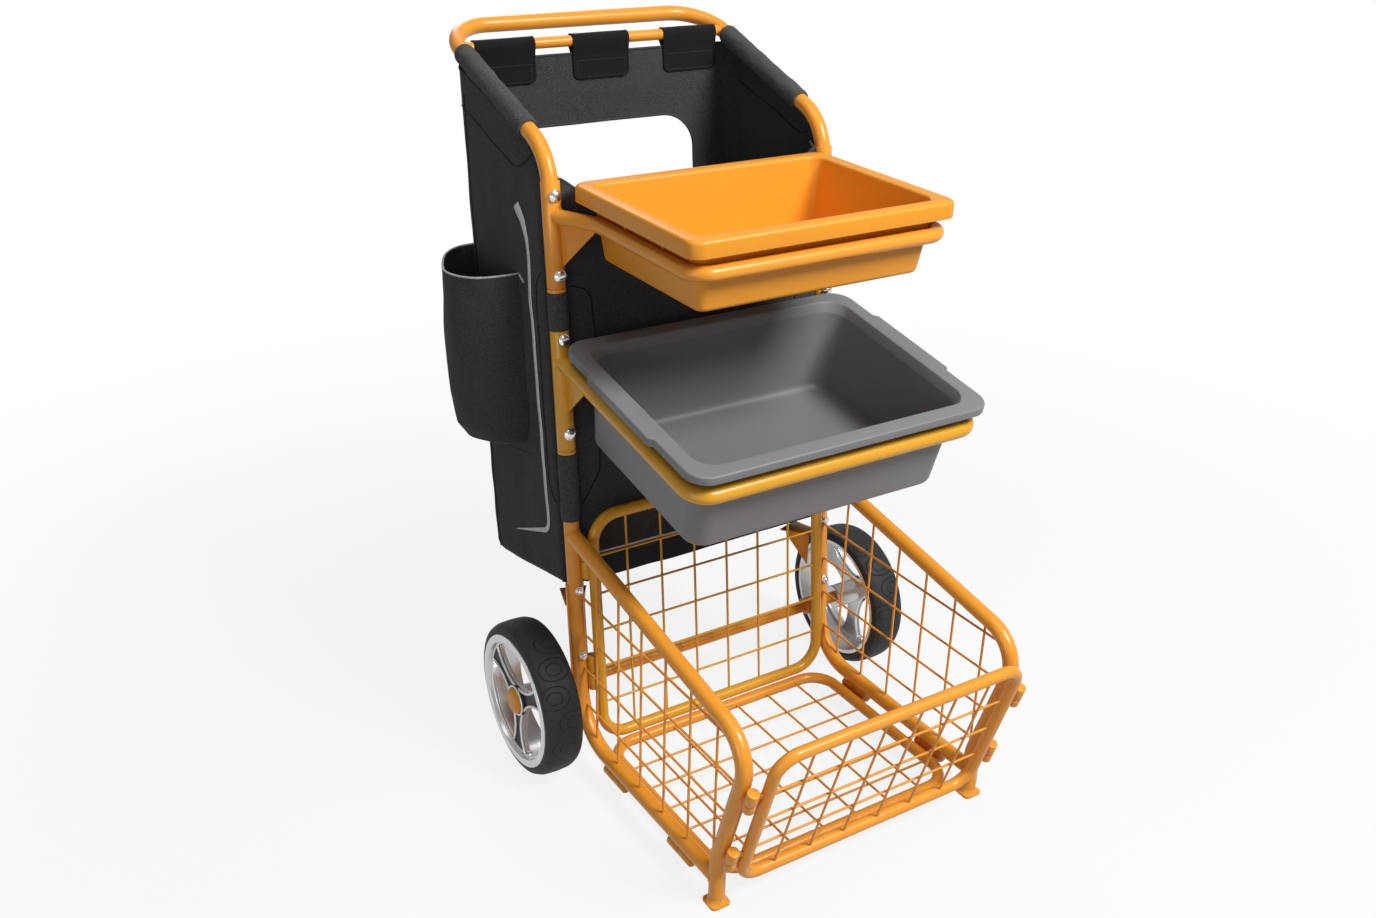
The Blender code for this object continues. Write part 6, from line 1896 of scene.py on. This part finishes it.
def build_stage(sizes):
    """Pale floor, soft studio light and the camera at the photograph's place."""
    ring = [(x, y, -0.0005) for x, y in circle_points(30, 72)]
    mesh = Shape().add(ring, [list(range(72))]).mesh(False)
    mesh.materials.append(finish("studio_floor"))
    linked("studio_floor", mesh)

    scene = bpy.context.scene
    world = bpy.data.worlds.new("studio")
    scene.world = world
    world.use_nodes = True
    book = NodeBook(world.node_tree)
    world.node_tree.nodes.clear()
    path = book.node("ShaderNodeLightPath")
    seen = Value(book, path.outputs["Is Camera Ray"]).most(Value(book, path.outputs["Is Transmission Ray"]))
    seen = seen.most(Value(book, path.outputs["Is Glossy Ray"]) * 0.35)
    soft = book.node("ShaderNodeBackground", None, {"Color": (0.95, 0.97, 1.0, 1.0), "Strength": 0.13})
    white = book.node("ShaderNodeBackground", None, {"Color": (1, 1, 1, 1), "Strength": 1.0})
    mix = book.node("ShaderNodeMixShader", None, {0: seen, 1: soft, 2: white})
    book.node("ShaderNodeOutputWorld", None, {"Surface": mix})

    lamps = (("key_light", (1.0, -2.45, 3.2), 1.3, 146), ("top_light", (-0.5, -0.3, 4.0), 2.0, 24),
             ("side_light", (-3.0, -1.8, 0.9), 1.6, 20), ("back_light", (0.8, 3.4, 2.6), 1.8, 30))
    for name, place, size, power in lamps:
        lamp = bpy.data.lights.new(name, "AREA")
        lamp.shape = "DISK"
        lamp.size = size
        lamp.energy = power
        obj = linked(name, lamp)
        obj.location = place
        obj.rotation_mode = "QUATERNION"
        obj.rotation_quaternion = (Vector((0, 0, 0.5)) - Vector(place)).to_track_quat("-Z", "Y")

    level = math.cos(CAMERA_PITCH)
    forward = Vector((math.sin(CAMERA_YAW) * level, math.cos(CAMERA_YAW) * level, -math.sin(CAMERA_PITCH)))
    right = Vector((math.cos(CAMERA_YAW), -math.sin(CAMERA_YAW), 0))
    up = right.cross(forward)
    rolled_right = right * math.cos(CAMERA_ROLL) + up * math.sin(CAMERA_ROLL)
    rolled_up = up * math.cos(CAMERA_ROLL) - right * math.sin(CAMERA_ROLL)
    turn = Matrix((rolled_right, rolled_up, -forward)).transposed().to_4x4()
    data = bpy.data.cameras.new("camera")
    data.sensor_width = 36.0
    data.lens = CAMERA_FOCUS * data.sensor_width
    camera = linked("camera", data)
    x, y, z = CAMERA_PLACE
    camera.matrix_world = Matrix.Translation((x, y + SHIFT.y, z)) @ turn
    scene.camera = camera
    scene.view_settings.view_transform = "Standard"


def built(build, context):
    """Run a build function with the panel's sizes, for an operator."""
    build(context.scene.trolley_sizes)
    return {"FINISHED"}


class TrolleyTubes(bpy.types.Operator):
    """Build the handle, uprights, legs, bar and axle tube"""

    bl_idname = "trolley.tubes"
    bl_label = "Frame Tubes"

    def execute(self, context):
        return built(build_tubes, context)


class TrolleyFeet(bpy.types.Operator):
    """Build the foot plates"""

    bl_idname = "trolley.feet"
    bl_label = "Foot Plates"

    def execute(self, context):
        return built(build_feet, context)


class TrolleyBasket(bpy.types.Operator):
    """Build the wire basket and its gate"""

    bl_idname = "trolley.basket"
    bl_label = "Wire Basket"

    def execute(self, context):
        return built(build_basket, context)


class TrolleyBrackets(bpy.types.Operator):
    """Build the tray rings, the axle saddles and the shelves"""

    bl_idname = "trolley.brackets"
    bl_label = "Brackets"

    def execute(self, context):
        return built(build_brackets, context)


class TrolleyFasteners(bpy.types.Operator):
    """Build the bolts and nuts"""

    bl_idname = "trolley.fasteners"
    bl_label = "Bolts and Nuts"

    def execute(self, context):
        return built(build_fasteners, context)


class TrolleyTrays(bpy.types.Operator):
    """Build the top tray and the lower tub"""

    bl_idname = "trolley.trays"
    bl_label = "Tray and Tub"

    def execute(self, context):
        return built(build_trays, context)


class TrolleyWheels(bpy.types.Operator):
    """Build both wheels"""

    bl_idname = "trolley.wheels"
    bl_label = "Wheels"

    def execute(self, context):
        return built(build_wheels, context)


class TrolleyBag(bpy.types.Operator):
    """Build the bag with its trim"""

    bl_idname = "trolley.bag"
    bl_label = "Bag"

    def execute(self, context):
        return built(build_bag, context)


class TrolleySleeves(bpy.types.Operator):
    """Build the cloth sleeves on the tubes"""

    bl_idname = "trolley.sleeves"
    bl_label = "Sleeves"

    def execute(self, context):
        return built(build_sleeves, context)


class TrolleyStraps(bpy.types.Operator):
    """Build the straps over the cross bar"""

    bl_idname = "trolley.straps"
    bl_label = "Straps"

    def execute(self, context):
        return built(build_straps, context)


class TrolleyPocket(bpy.types.Operator):
    """Build the bottle pocket"""

    bl_idname = "trolley.pocket"
    bl_label = "Bottle Pocket"

    def execute(self, context):
        return built(build_pocket, context)


class TrolleyStage(bpy.types.Operator):
    """Build the floor, lights and camera"""

    bl_idname = "trolley.stage"
    bl_label = "Stage"

    def execute(self, context):
        return built(build_stage, context)


BUILDERS = (TrolleyTubes, TrolleyFeet, TrolleyBasket, TrolleyBrackets, TrolleyFasteners, TrolleyTrays,
            TrolleyWheels, TrolleyBag, TrolleySleeves, TrolleyStraps, TrolleyPocket, TrolleyStage)


class TrolleyPanel(bpy.types.Panel):
    """Buttons and sizes for the trolley's pieces"""

    bl_idname = "VIEW3D_PT_trolley"
    bl_label = "Ball Trolley"
    bl_space_type = "VIEW_3D"
    bl_region_type = "UI"
    bl_category = "Trolley"

    def draw(self, context):
        for builder in BUILDERS:
            self.layout.operator(builder.bl_idname)
        for group in (context.scene.trolley_sizes, context.scene.trolley_colours):
            column = self.layout.column()
            for name in group.bl_rna.properties.keys():
                if name not in ("rna_type", "name"):
                    column.prop(group, name)


CLASSES = (TrolleySizes, TrolleyColours, *BUILDERS, TrolleyPanel)


def register():
    for item in CLASSES:
        bpy.utils.register_class(item)
    bpy.types.Scene.trolley_sizes = bpy.props.PointerProperty(type=TrolleySizes)
    bpy.types.Scene.trolley_colours = bpy.props.PointerProperty(type=TrolleyColours)


def unregister():
    del bpy.types.Scene.trolley_colours
    del bpy.types.Scene.trolley_sizes
    for item in reversed(CLASSES):
        bpy.utils.unregister_class(item)


def main():
    """Build every piece in order."""
    register()
    tube_tree()
    stitch_tree()
    scatter_tree()
    for builder in BUILDERS:
        group, name = builder.bl_idname.split(".")
        getattr(getattr(bpy.ops, group), name)()


if __name__ == "__main__":
    main()
